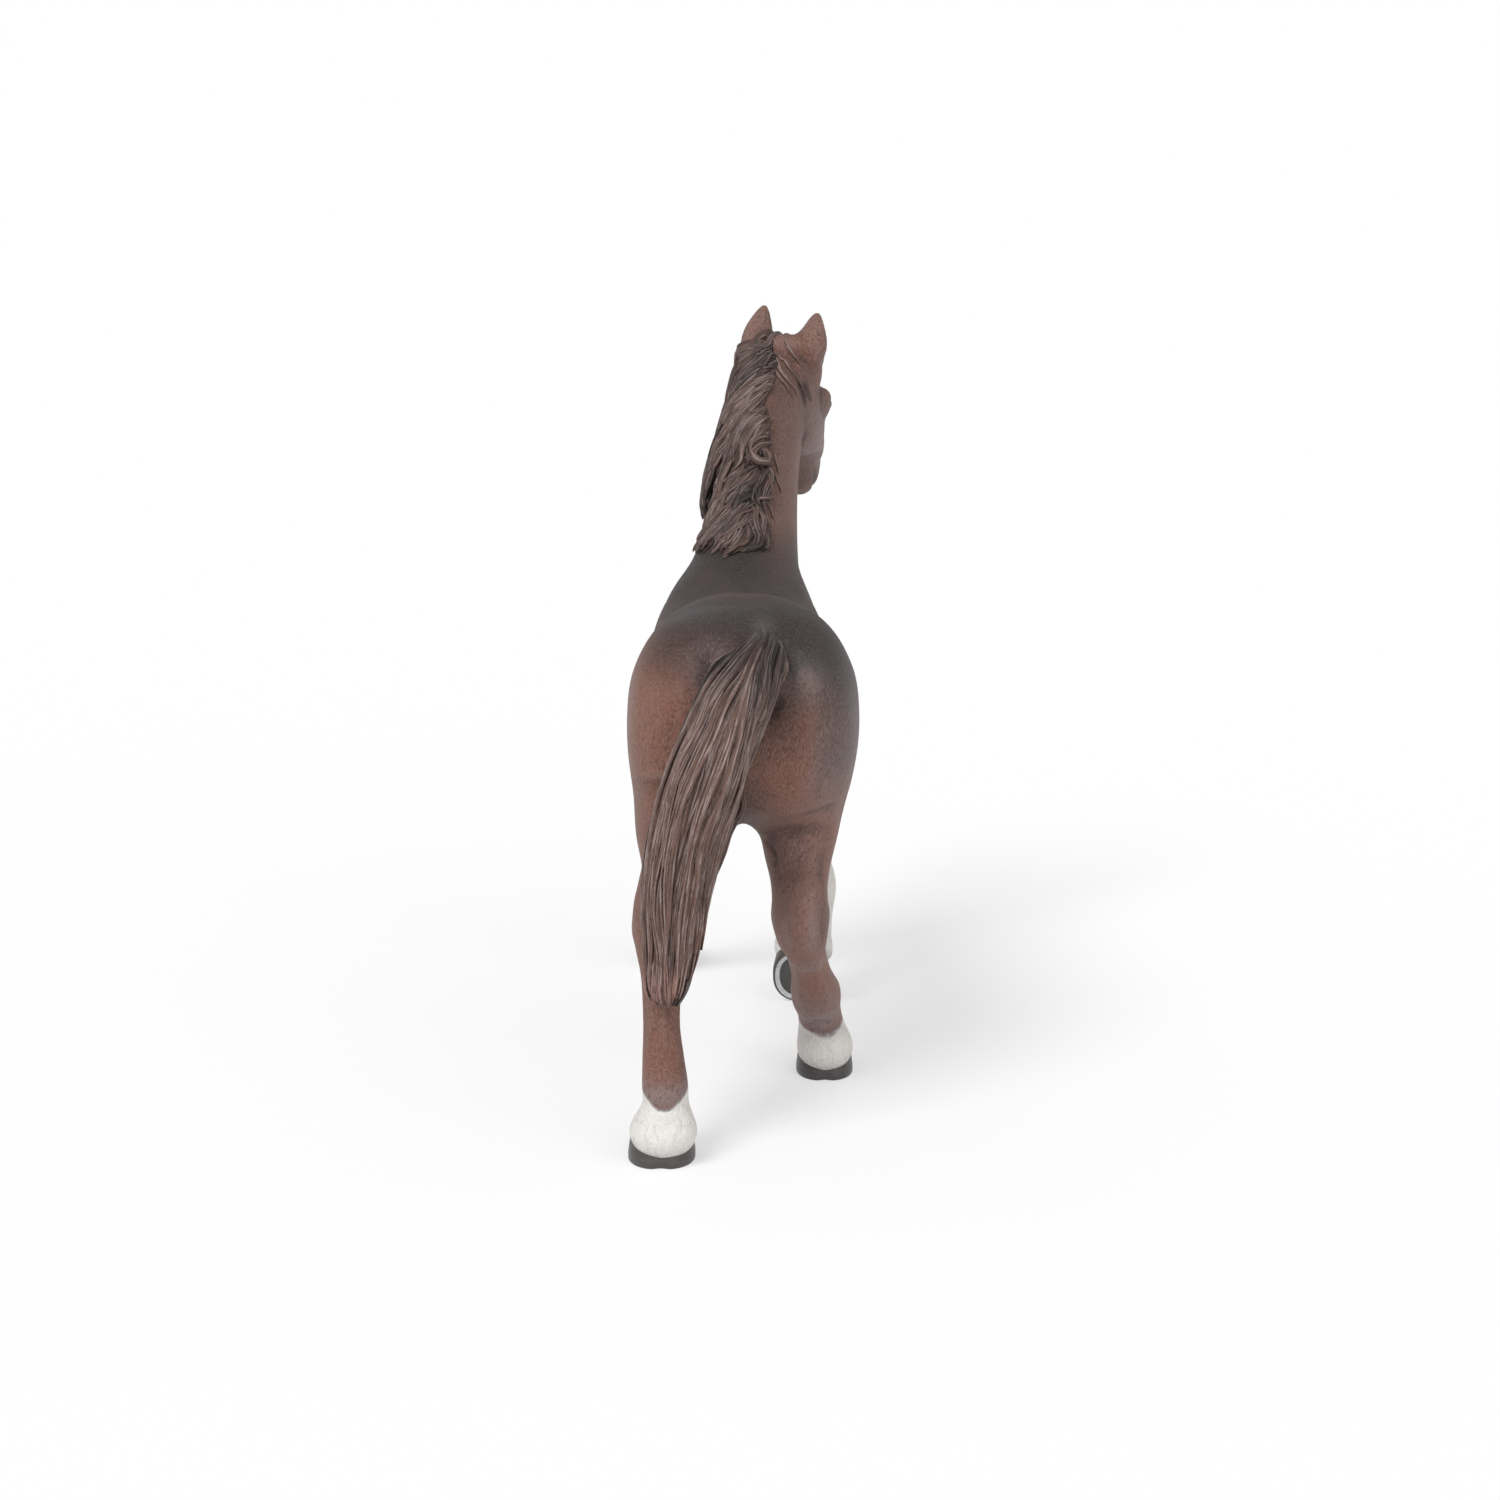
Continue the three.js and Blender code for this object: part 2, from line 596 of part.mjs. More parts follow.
const pieces = {};
for (const [name, leg] of Object.entries(legs)) {
  const { seat, direction } = axisAtHeight(leg.stations, legSeam);
  const legPeg = [seat, direction, legPegWidth, legPegLength];
  trunk = trunk.subtract(legSpace(leg, clearance)).subtract(peg(...legPeg, clearance));
  pieces[name] = skin.intersect(legSpace(leg)).add(peg(...legPeg));
}

// The tail's grooves run round it in a slow twist, and its root plugs into the croup.
const dock = onBody(dockShares);
function tailStations() {
  const rows = tailShares.map(([side, forward, rise, width, thick]) => [
    dock.x + side * tailLength, dock.y + forward * tailLength, dock.z + rise * tailLength,
    width * tailWidth / 2, thick * tailWidth / 2, thick * tailWidth / 2,
  ]);
  return withFrames(refine(rows, tailSteps).map(station));
}
const tailRings = tailStations().map((s, i, all) =>
  Array.from({ length: 2 * tailStrands }, (_, k) => {
    const angle = (k / tailStrands) * Math.PI + tailTwist * Math.sin((i / all.length) * Math.PI);
    const groove = strandDepth * Math.min(1, s.width / cannonWidth * roundSection);
    return sectionPoint(s, angle, k % 2 === 0 ? 0 : -groove);
  }));
const grownLeg = solid(loft(legs.left_hindleg.stations, legRingPoints, clearance));
const grownTrunk = solid(loft(trunkStations(), ringPoints, clearance));
const tailPeg = [dock, new THREE.Vector3(0, 1, 0), tailPegWidth, tailPegLength];
pieces.tail = solid(closeRings(tailRings)).subtract(grownLeg).subtract(grownTrunk).add(peg(...tailPeg));
trunk = trunk.subtract(peg(...tailPeg, clearance));

// The mane lies on the left of the neck like a thick sheet, its locks slanting down and
// back, and two pins through the skin of the neck hold it.
function neckAt(place) {
  const steps = [place - rowStep, place, place + rowStep];
  return withFrames(steps.map((step) => station(between(neckRows(), step))))[1];
}

// Outer and inner rows of points make one closed sheet.
function closeSheet(outer, inner) {
  const across = outer[0].length;
  const rings = outer.map((row, i) => [...row, ...inner[i].toReversed()]);
  return closeRings(rings, (ring) => Array.from({ length: across - 1 }, (_, k) => [
    [ring[k], ring[k + 1], ring[2 * across - 2 - k]],
    [ring[k], ring[2 * across - 2 - k], ring[2 * across - 1 - k]],
  ]).flat());
}

function maneSheet() {
  const outer = [];
  const inner = [];
  for (let i = 0; i <= maneSteps; i++) {
    const share = i / maneSteps;
    const s = neckAt(maneSpan.from + share * (maneSpan.to - maneSpan.from));
    const lock = Math.abs(Math.sin(share * maneLocks * Math.PI));
    const wrap = maneWrap.shortest + lock * (maneWrap.longest - maneWrap.shortest);
    const angles = Array.from({ length: maneAcross + 1 }, (_, k) => {
      const down = k / maneAcross;
      return { down, angle: Math.PI / 2 - maneWrap.overCrest + down * (wrap + maneWrap.overCrest) };
    });
    inner.push(angles.map(({ angle }) => sectionPoint(s, angle, clearance)));
    outer.push(angles.map(({ down, angle }) => {
      const place = Math.min(1, maneSwell.start + maneSwell.span * down);
      const body = Math.sin(Math.PI * place) ** maneSwell.power;
      const strand = Math.cos(2 * Math.PI * (maneStrands * share - maneSlant * down));
      const thickness = maneEdge + (maneThickness - maneEdge) * body + strandDepth / 2 * strand * body;
      return sectionPoint(s, angle, clearance + thickness);
    }));
  }
  return solid(closeSheet(outer, inner));
}

let mane = maneSheet().subtract(headSpace).subtract(wholeHead);
for (const place of manePins) {
  const s = neckAt(place);
  const angle = Math.PI / 2 + maneWrap.shortest / 2;
  const root = sectionPoint(s, angle, clearance + maneEdge);
  const inwards = s.at.clone().sub(root).normalize();
  const pin = [root, inwards, manePinWidth, manePinLength];
  mane = mane.add(peg(...pin));
  neck = neck.subtract(peg(...pin, clearance));
}
pieces.mane = mane;

pieces.trunk = trunk;
pieces.neck = neck;
pieces.head = head;

const figure = new THREE.Group();
for (const [name, manifold] of Object.entries(pieces)) {
  const vinyl = name === "mane" || name === "tail" ? vinylHair : vinylCoat;
  const mesh = new THREE.Mesh(shapeOf(manifold), new THREE.MeshStandardMaterial(vinyl));
  mesh.name = name;
  figure.add(mesh);
}

// The origin is on the ground, under the middle of the whole figure.
const extent = new THREE.Box3().setFromObject(figure);
const centre = extent.getCenter(new THREE.Vector3());
figure.position.set(-centre.x, -centre.y, -extent.min.z);
export default figure;
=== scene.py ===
"""A walking toy horse in moulded vinyl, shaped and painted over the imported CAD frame.

Shapes are worked out in millimetres, with the horse facing +Y and its own right side at +X,
and put into metres in the frame's place when their mesh is made. The body is one skin, blended
from the distances to closed forms and cut at the seams between the mouldings. The mane and the
tail are made of single locks laid over it."""
import math

import bmesh
import bpy
import numpy as np
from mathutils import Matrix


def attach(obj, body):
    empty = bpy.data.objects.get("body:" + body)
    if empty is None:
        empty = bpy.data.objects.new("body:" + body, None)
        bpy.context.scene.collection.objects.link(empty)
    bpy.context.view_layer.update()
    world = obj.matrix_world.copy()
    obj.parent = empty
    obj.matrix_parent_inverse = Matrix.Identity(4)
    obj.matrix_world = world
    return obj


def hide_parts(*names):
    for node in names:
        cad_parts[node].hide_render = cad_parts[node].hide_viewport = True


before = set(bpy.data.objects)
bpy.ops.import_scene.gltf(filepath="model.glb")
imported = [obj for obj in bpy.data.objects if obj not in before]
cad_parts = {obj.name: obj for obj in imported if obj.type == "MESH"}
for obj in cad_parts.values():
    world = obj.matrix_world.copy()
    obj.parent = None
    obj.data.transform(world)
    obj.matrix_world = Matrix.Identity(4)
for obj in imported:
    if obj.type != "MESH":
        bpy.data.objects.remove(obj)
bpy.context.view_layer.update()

import openvdb

# The drawing's place in the frame, how coarse the grids are, and how far from a form its distance is kept
drawing_place = np.array([0.882, -51.866, 0.0])
coarse = 1.0
reach_of_field = 5.0

# Main sizes, the same as the solids'
body_length, withers, half_width, cannon = 90.0, 82.5, 18.0, 5.5
neck_length, neck_depth, neck_width = 50.0, 31.0, 20.0
head_length, head_depth, head_width = 34.5, 15.0, 12.0
ear_length, ear_width, ear_hollow = 8.6, 5.8, 1.1
hoof_width, hoof_length, hoof_height = 10.2, 12.6, 6.4
tail_length, tail_width = 56.0, 10.6

# Trunk from the back to the front: place along the length, shift aside, height of the middle, half width,
# heights of the top and the bottom, and how square the section is
trunk_shares = np.array([
    [0.004, 0.00, 0.800, 0.20, 0.845, 0.760, 2.0],
    [0.022, 0.00, 0.790, 0.58, 0.905, 0.680, 2.2],
    [0.055, 0.01, 0.782, 0.835, 0.945, 0.620, 2.35],
    [0.100, 0.012, 0.775, 0.93, 0.968, 0.585, 2.45],
    [0.160, 0.012, 0.770, 0.965, 0.978, 0.572, 2.5],
    [0.225, 0.01, 0.765, 0.955, 0.981, 0.572, 2.45],
    [0.310, 0.00, 0.755, 0.91, 0.974, 0.585, 2.3],
    [0.400, 0.00, 0.740, 0.90, 0.958, 0.595, 2.1],
    [0.490, -0.01, 0.730, 0.925, 0.945, 0.580, 2.0],
    [0.580, -0.02, 0.725, 0.935, 0.940, 0.562, 2.0],
    [0.670, -0.045, 0.725, 0.91, 0.958, 0.548, 2.1],
    [0.745, -0.065, 0.730, 0.87, 0.982, 0.543, 2.15],
    [0.820, -0.065, 0.735, 0.80, 0.985, 0.552, 2.2],
    [0.890, -0.04, 0.735, 0.71, 0.935, 0.580, 2.2],
    [0.950, -0.03, 0.735, 0.58, 0.860, 0.620, 2.2],
    [0.990, -0.02, 0.735, 0.38, 0.800, 0.665, 2.1],
    [1.005, -0.02, 0.735, 0.12, 0.758, 0.712, 2.0],
])
# Neck from the shoulders up: aside, forward and up as shares of its length, then half width, and reach to the
# crest and to the throat as shares of half its width and depth
neck_base = np.array([0.0, 0.861 * body_length, 0.885 * withers])
neck_shares = np.array([
    [-0.012, -0.150, -0.180, 1.02, 1.05, 1.16],
    [0.002, 0.000, 0.000, 0.95, 0.95, 1.04],
    [0.014, 0.120, 0.180, 0.85, 0.86, 0.84],
    [0.028, 0.235, 0.350, 0.79, 0.79, 0.68],
    [0.055, 0.335, 0.510, 0.73, 0.73, 0.57],
    [0.090, 0.415, 0.650, 0.68, 0.62, 0.52],
    [0.124, 0.460, 0.765, 0.60, 0.45, 0.42],
    [0.148, 0.474, 0.845, 0.40, 0.22, 0.24],
])
poll = neck_base + np.array([0.164, 0.470, 0.880]) * neck_length
# Head from the poll to the lips: place down its length, front and back edges, half width, squareness
head_nod, head_turn, head_tilt = np.radians([38.0, -18.0, 7.0])
head_shares = np.array([
    [-0.035, -0.22, -0.42, 0.34, 2.0],
    [0.030, -0.06, -0.62, 0.72, 2.2],
    [0.130, 0.04, -0.84, 0.90, 2.3],
    [0.240, 0.085, -0.95, 0.98, 2.4],
    [0.340, 0.085, -0.98, 0.96, 2.4],
    [0.440, 0.060, -0.92, 0.95, 2.4],
    [0.540, 0.035, -0.76, 0.87, 2.3],
    [0.640, 0.020, -0.64, 0.78, 2.3],
    [0.740, 0.015, -0.575, 0.71, 2.3],
    [0.830, 0.015, -0.555, 0.65, 2.3],
    [0.915, -0.015, -0.545, 0.58, 2.3],
    [0.970, -0.085, -0.505, 0.44, 2.2],
    [1.000, -0.200, -0.410, 0.24, 2.0],
])
# Legs from the top down: side, forward and up as shares of half width, length and height, then half
# width, reach ahead and reach behind as shares of the cannon's width.
leg_shares = {
    "left_hindleg": np.array([
        [-0.528, 0.161, 0.824, 1.18, 2.30, 2.45], [-0.533, 0.161, 0.727, 1.33, 2.75, 2.70],
        [-0.522, 0.150, 0.630, 1.38, 2.45, 2.45], [-0.530, 0.096, 0.552, 1.27, 1.80, 1.85],
        [-0.567, 0.060, 0.497, 1.00, 1.33, 1.25], [-0.636, 0.036, 0.461, 0.85, 1.00, 1.05],
        [-0.680, 0.022, 0.432, 0.80, 0.84, 1.16], [-0.684, 0.013, 0.400, 0.80, 0.78, 1.10],
        [-0.680, -0.006, 0.361, 0.72, 0.70, 0.82], [-0.676, -0.034, 0.315, 0.57, 0.55, 0.64],
        [-0.672, -0.069, 0.242, 0.51, 0.46, 0.55], [-0.655, -0.098, 0.188, 0.57, 0.52, 0.62],
        [-0.636, -0.121, 0.143, 0.63, 0.60, 0.80], [-0.630, -0.113, 0.099, 0.64, 0.58, 0.70],
        [-0.640, -0.096, 0.048, 0.86, 0.84, 0.86],
    ]),
    "right_hindleg": np.array([
        [0.528, 0.172, 0.824, 1.18, 2.30, 2.45], [0.533, 0.197, 0.727, 1.33, 2.75, 2.70],
        [0.508, 0.214, 0.630, 1.40, 2.45, 2.45], [0.500, 0.200, 0.552, 1.18, 1.80, 1.85],
        [0.492, 0.178, 0.497, 1.00, 1.33, 1.25], [0.496, 0.161, 0.455, 0.85, 1.00, 1.05],
        [0.500, 0.150, 0.422, 0.80, 0.84, 1.16], [0.506, 0.148, 0.383, 0.81, 0.80, 1.10],
        [0.524, 0.166, 0.339, 0.74, 0.71, 0.84], [0.562, 0.198, 0.293, 0.58, 0.56, 0.66],
        [0.608, 0.240, 0.240, 0.58, 0.50, 0.62], [0.640, 0.277, 0.201, 0.68, 0.56, 0.74],
        [0.664, 0.314, 0.170, 0.74, 0.64, 0.86], [0.700, 0.341, 0.119, 0.65, 0.60, 0.72],
        [0.739, 0.353, 0.048, 0.80, 0.84, 0.86],
    ]),
    "left_foreleg": np.array([
        [-0.500, 0.844, 0.800, 0.85, 1.50, 1.45], [-0.533, 0.828, 0.691, 1.10, 1.45, 1.50],
        [-0.567, 0.817, 0.606, 1.07, 1.25, 1.40], [-0.606, 0.833, 0.533, 0.91, 1.02, 1.08],
        [-0.644, 0.858, 0.467, 0.76, 0.80, 0.84], [-0.678, 0.880, 0.410, 0.64, 0.64, 0.66],
        [-0.700, 0.893, 0.376, 0.73, 0.72, 0.68], [-0.717, 0.902, 0.343, 0.75, 0.72, 0.72],
        [-0.739, 0.911, 0.303, 0.58, 0.52, 0.62], [-0.772, 0.931, 0.236, 0.48, 0.43, 0.53],
        [-0.800, 0.947, 0.182, 0.50, 0.46, 0.57], [-0.822, 0.962, 0.138, 0.62, 0.58, 0.76],
        [-0.833, 0.992, 0.097, 0.64, 0.56, 0.66], [-0.839, 1.026, 0.048, 0.87, 0.85, 0.85],
    ]),
    "right_foreleg": np.array([
        [0.500, 0.844, 0.800, 0.85, 1.50, 1.45], [0.544, 0.828, 0.691, 1.10, 1.45, 1.50],
        [0.572, 0.828, 0.606, 1.07, 1.25, 1.40], [0.600, 0.867, 0.545, 0.91, 1.02, 1.08],
        [0.622, 0.911, 0.497, 0.76, 0.80, 0.84], [0.639, 0.951, 0.456, 0.66, 0.66, 0.68],
        [0.650, 0.973, 0.432, 0.73, 0.74, 0.66], [0.661, 0.984, 0.400, 0.75, 0.76, 0.69],
        [0.672, 0.971, 0.364, 0.60, 0.55, 0.62], [0.689, 0.940, 0.320, 0.48, 0.43, 0.53],
        [0.711, 0.907, 0.276, 0.50, 0.46, 0.57], [0.722, 0.873, 0.233, 0.62, 0.58, 0.76],
        [0.678, 0.840, 0.179, 0.64, 0.56, 0.66], [0.590, 0.784, 0.110, 0.87, 0.85, 0.85],
    ]),
}
# The middle of each sole: aside, forward and up, and how far the hoof is folded back, in degrees
sole_shares = {
    "left_hindleg": (-0.668, -0.112, 0.0, 0.0),
    "right_hindleg": (0.746, 0.343, 0.0, 0.0),
    "left_foreleg": (-0.844, 1.050, 0.0, 0.0),
    "right_foreleg": (0.556, 0.739, 0.0675, -65.0),
}
# Tail from the dock down: aside, forward and up as shares of its length, half width and half depth
dock = np.array([0.085 * half_width, 0.024 * body_length, 0.915 * withers])
tail_shares = np.array([
    [0.010, 0.150, -0.010, 0.34, 0.34],
    [0.020, 0.050, 0.004, 0.44, 0.42],
    [0.021, -0.035, -0.005, 0.68, 0.53],
    [-0.015, -0.110, -0.055, 0.92, 0.60],
    [-0.060, -0.163, -0.145, 0.98, 0.66],
    [-0.105, -0.197, -0.245, 0.99, 0.69],
    [-0.146, -0.213, -0.370, 1.03, 0.68],
    [-0.183, -0.218, -0.505, 0.98, 0.65],
    [-0.202, -0.219, -0.640, 0.88, 0.60],
    [-0.208, -0.223, -0.770, 0.79, 0.56],
    [-0.219, -0.228, -0.868, 0.65, 0.46],
    [-0.224, -0.232, -0.925, 0.32, 0.22],
])


# ---------------------------------------------------------------- forms

def unit(vectors):
    """Vectors of length one."""
    return vectors / np.maximum(np.linalg.norm(vectors, axis=-1, keepdims=True), 1e-9)


def between(rows, places):
    """Catmull-Rom rows at fractional places of a table:
    b + t/2 (c - a + t (2a - 5b + 4c - d + t (3(b - c) + d - a)))."""
    rows = np.asarray(rows, float)
    last = len(rows) - 1
    places = np.asarray(places, float)
    i = np.clip(np.floor(places).astype(int), 0, last - 1)
    t = (places - i)[:, None]
    a, b, c, d = rows[np.maximum(i - 1, 0)], rows[i], rows[i + 1], rows[np.minimum(i + 2, last)]
    return b + 0.5 * t * (c - a + t * (2 * a - 5 * b + 4 * c - d + t * (3 * (b - c) + d - a)))


def refined(rows, steps):
    """The same line with more rows."""
    return between(rows, np.linspace(0, len(rows) - 1, (len(rows) - 1) * steps + 1))


def frames_along(path):
    """At each point of a path: along it, across the horse, and to the section's front side."""
    along = unit(np.gradient(path, axis=0))
    side = unit(np.array([1.0, 0, 0]) - along * along[:, :1])
    return along, side, np.cross(side, along)


def section_point(centre, side, ahead, width, front, rear, square, angle):
    """A superellipse: centre + side w sgn(cos a)|cos a|^(2/n) + ahead r sgn(sin a)|sin a|^(2/n), where r is the
    reach to the front or to the rear."""
    c, s = np.cos(angle), np.sin(angle)
    power = 2 / square
    reach = np.where(s > 0, front, rear)
    sideways = np.sign(c) * np.abs(c) ** power * width
    forwards = np.sign(s) * np.abs(s) ** power * reach
    return centre + side * sideways[..., None] + ahead * forwards[..., None]


def carried(rows, around, steps, fixed=None):
    """A section carried along the rows' path, as points by row and angle. A row is x, y, z, half width, reach to
    the front and to the rear, and squareness."""
    rows = refined(rows, steps)
    centre = rows[:, :3]
    _, side, ahead = frames_along(centre)
    if fixed is not None:
        side, ahead = (np.broadcast_to(np.array(v, float), centre.shape) for v in fixed)
    angle = np.linspace(0, 2 * np.pi, around, endpoint=False)[None, :]
    width, front, rear, square = (rows[:, k, None] for k in (3, 4, 5, 6))
    return section_point(centre[:, None], side[:, None], ahead[:, None], width, front, rear, square, angle)


def closed(grid):
    """A grid of rings as one closed skin: quads between rings, and a fan round a middle point at both ends."""
    rows, around = grid.shape[:2]
    points = np.concatenate([grid.reshape(-1, 3), grid[0].mean(0)[None], grid[-1].mean(0)[None]])
    index = np.arange(rows * around).reshape(rows, around)
    nxt = np.roll(index, -1, axis=1)
    quads = np.stack([index[:-1], index[1:], nxt[1:], nxt[:-1]], -1).reshape(-1, 4)
    first, last = rows * around, rows * around + 1
    start = np.stack([np.full(around, first), index[0], nxt[0]], -1)
    end = np.stack([np.full(around, last), nxt[-1], index[-1]], -1)
    return points, quads, np.concatenate([start, end])


class Form:
    """The distance to one closed skin, kept on a grid of its own."""

    def __init__(self, grid, step):
        points, quads, triangles = closed(grid)
        self.step = step = step * coarse
        self.first = np.floor((points.min(0) - reach_of_field) / step).astype(int)
        shape = np.ceil((points.max(0) + reach_of_field) / step).astype(int) - self.first + 1
        field = openvdb.FloatGrid.createLevelSetFromPolygons(
            points.astype(np.float32), quads=quads.astype(np.uint32), triangles=triangles.astype(np.uint32),
            transform=openvdb.createLinearTransform(voxelSize=step), halfWidth=reach_of_field / step)
        self.near = np.empty(tuple(shape), np.float32)
        field.copyToArray(self.near, ijk=tuple(int(v) for v in self.first))

    def over(self, space):
        """The distance over the part of a space that this form reaches, and that part's slices."""
        low = self.first * self.step
        high = (self.first + np.array(self.near.shape) - 1) * self.step
        cut = space.slices(low, high)
        if cut is None:
            return None, None
        near = self.near
        for axis in range(3):
            place = (np.arange(cut[axis].start, cut[axis].stop) + space.first[axis]) * space.step / self.step
            place = np.clip(place - self.first[axis], 0, near.shape[axis] - 1.001)
            i = place.astype(int)
            t = (place - i).astype(np.float32).reshape([-1 if k == axis else 1 for k in range(3)])
            near = np.take(near, i, axis) * (1 - t) + np.take(near, i + 1, axis) * t
        return near, cut


class Ball:
    """An egg: the distance to it is about (|p/r| - 1) |p/r| / |p/r²|."""

    def __init__(self, centre, radii, turn=np.eye(3)):
        self.centre, self.radii, self.turn = np.array(centre, float), np.array(radii, float), turn

    def over(self, space):
        spread = self.radii.max() + reach_of_field
        cut = space.slices(self.centre - spread, self.centre + spread)
        if cut is None:
            return None, None
        x, y, z = space.places(cut)
        local = np.stack(np.broadcast_arrays(x - self.centre[0], y - self.centre[1], z - self.centre[2]), -1)
        local = local @ self.turn.astype(np.float32)
        share = np.linalg.norm(local / self.radii, axis=-1)
        slope = np.linalg.norm(local / self.radii**2, axis=-1)
        return np.clip(share * (share - 1) / np.maximum(slope, 1e-4), -reach_of_field, reach_of_field), cut


class Space:
    """A box of space sampled on a grid, in which forms are blended into one skin."""

    def __init__(self, low, high, step):
        self.step = step * coarse
        self.first = np.floor(np.array(low) / self.step).astype(int)
        shape = np.ceil(np.array(high) / self.step).astype(int) - self.first + 1
        self.field = np.full(tuple(shape), reach_of_field, np.float32)

    def slices(self, low, high):
        """The part of the grid between two corners, or nothing."""
        start = np.maximum(np.floor(np.array(low) / self.step).astype(int) - self.first, 0)
        stop = np.minimum(np.ceil(np.array(high) / self.step).astype(int) - self.first + 1, self.field.shape)
        if np.any(stop <= start):
            return None
        return tuple(slice(a, b) for a, b in zip(start, stop))

    def places(self, cut):
        """Open grids of x, y and z over a cut."""
        return tuple(((np.arange(c.start, c.stop) + self.first[k]) * self.step).astype(np.float32).reshape(
            [-1 if j == k else 1 for j in range(3)]) for k, c in enumerate(cut))

    def blend(self, form, fillet):
        """Joins a form on with a soft fillet: min(a, b) - max(k - |a - b|, 0)² / 4k."""
        near, cut = form.over(self)
        if cut is not None:
            old = self.field[cut]
            self.field[cut] = np.minimum(old, near) - np.maximum(fillet - np.abs(old - near), 0) ** 2 / (4 * fillet)

    def carve(self, form, fillet):
        """Takes a form away with a softened edge."""
        near, cut = form.over(self)
        if cut is not None:
            old, away = self.field[cut], -near
            self.field[cut] = np.maximum(old, away) + np.maximum(fillet - np.abs(old - away), 0) ** 2 / (4 * fillet)

    def swell(self, centre, radii, height):
        """Raises the skin by height exp(-|p/r|²) about a point, or sinks it."""
        centre, radii = np.array(centre, float), np.array(radii, float)
        cut = self.slices(centre - 2.6 * radii, centre + 2.6 * radii)
        if cut is not None:
            parts = [((axis - centre[k]) / radii[k]) ** 2 for k, axis in enumerate(self.places(cut))]
            self.field[cut] -= (height * np.exp(-(parts[0] + parts[1] + parts[2]))).astype(np.float32)

    def crease(self, path, width, depth):
        """Sinks the skin by depth exp(-(d/w)²) at distance d from a smooth line, fading out at its ends."""
        path = refined(path, 12)
        cut = self.slices(path.min(0) - 2.6 * width, path.max(0) + 2.6 * width)
        if cut is not None:
            x, y, z = self.places(cut)
            groove = np.zeros(np.broadcast_shapes(x.shape, y.shape, z.shape), np.float32)
            fade = np.sin(np.pi * np.linspace(0.02, 0.98, len(path))) ** 0.7
            for (px, py, pz), share in zip(path, fade):
                near = (x - px) ** 2 + (y - py) ** 2 + (z - pz) ** 2
                np.maximum(groove, share * np.exp(-near / width**2), out=groove)
            self.field[cut] += depth * groove

    def soften(self, rounds):
        """Evens the field out between neighbours: a quarter, a half and a quarter along each axis."""
        for _ in range(rounds):
            for axis in range(3):
                field = np.moveaxis(self.field, axis, 0)
                inner = 0.25 * field[:-2] + 0.5 * field[1:-1] + 0.25 * field[2:]
                field[1:-1] = inner

    def at(self, points):
        """The field at any points, linear between the grid's places."""
        place = np.clip(points / self.step - self.first, 0, np.array(self.field.shape) - 1.001)
        i = place.astype(int)
        t = (place - i).astype(np.float32)
        total = 0
        for corner in range(8):
            pick = np.array([corner & 1, corner >> 1 & 1, corner >> 2 & 1])
            share = np.prod(np.where(pick, t, 1 - t), axis=1)
            total = total + share * self.field[tuple((i + pick).T)]
        return total

    def slope(self, points, spread):
        """How fast the field grows along each axis, taken over a gap of so many grid steps."""
        gap = spread * self.step
        return np.stack([self.at(points + gap * e) - self.at(points - gap * e) for e in np.eye(3)], -1) / (2 * gap)

    def skin(self):
        """Points and quads of the surface where the field is nought, drawn on to it by two Newton steps."""
        grid = openvdb.FloatGrid(reach_of_field)
        grid.copyFromArray(self.field)
        points, quads = grid.convertToQuads(isovalue=0.0)
        points = (points + self.first) * self.step
        for _ in range(2):
            slope = self.slope(points, 0.5)
            points = points - (self.at(points) / np.maximum((slope**2).sum(1), 0.2))[:, None] * slope
        return points, quads.astype(int)


# ---------------------------------------------------------------- the body's forms

def turned(angle, axis):
    """The matrix of a turn about one axis."""
    c, s = math.cos(angle), math.sin(angle)
    i, j = [(1, 2), (2, 0), (0, 1)][axis]
    matrix = np.eye(3)
    matrix[i, i] = matrix[j, j] = c
    matrix[i, j], matrix[j, i] = -s, s
    return matrix


head_turning = turned(head_turn, 2) @ turned(head_tilt, 1) @ turned(head_nod, 0)


def on_head(side, back, down):
    """A place on the head, as shares of its half width, depth and length, in the body's frame."""
    local = np.array([side * head_width / 2, back * head_depth, -down * head_length])
    return poll + head_turning @ local


trunk_rows = np.stack([
    trunk_shares[:, 1] * half_width, trunk_shares[:, 0] * body_length, trunk_shares[:, 2] * withers,
    trunk_shares[:, 3] * half_width, (trunk_shares[:, 4] - trunk_shares[:, 2]) * withers,
    (trunk_shares[:, 2] - trunk_shares[:, 5]) * withers, trunk_shares[:, 6]], 1)
neck_rows = np.concatenate([
    neck_base + neck_shares[:, :3] * neck_length, neck_shares[:, 3:4] * neck_width / 2,
    neck_shares[:, 4:6] * neck_depth / 2, np.full((len(neck_shares), 1), 2.0)], 1)


def leg_rows(name):
    shares = leg_shares[name]
    path = shares[:, :3] * np.array([half_width, body_length, withers])
    return np.concatenate([path, shares[:, 3:] * cannon, np.full((len(path), 1), 2.2)], 1)


def section_at(rows, place, angle, lift=0.0):
    """A point on a form's own section, at a place between its rows and an angle from its right side."""
    near = between(rows, np.array([place - 0.1, place, place + 0.1]))
    _, side, ahead = frames_along(near[:, :3])
    r = near[1]
    return section_point(r[:3], side[1], ahead[1], r[3] + lift, r[4] + lift, r[5] + lift, r[6], np.array(angle))


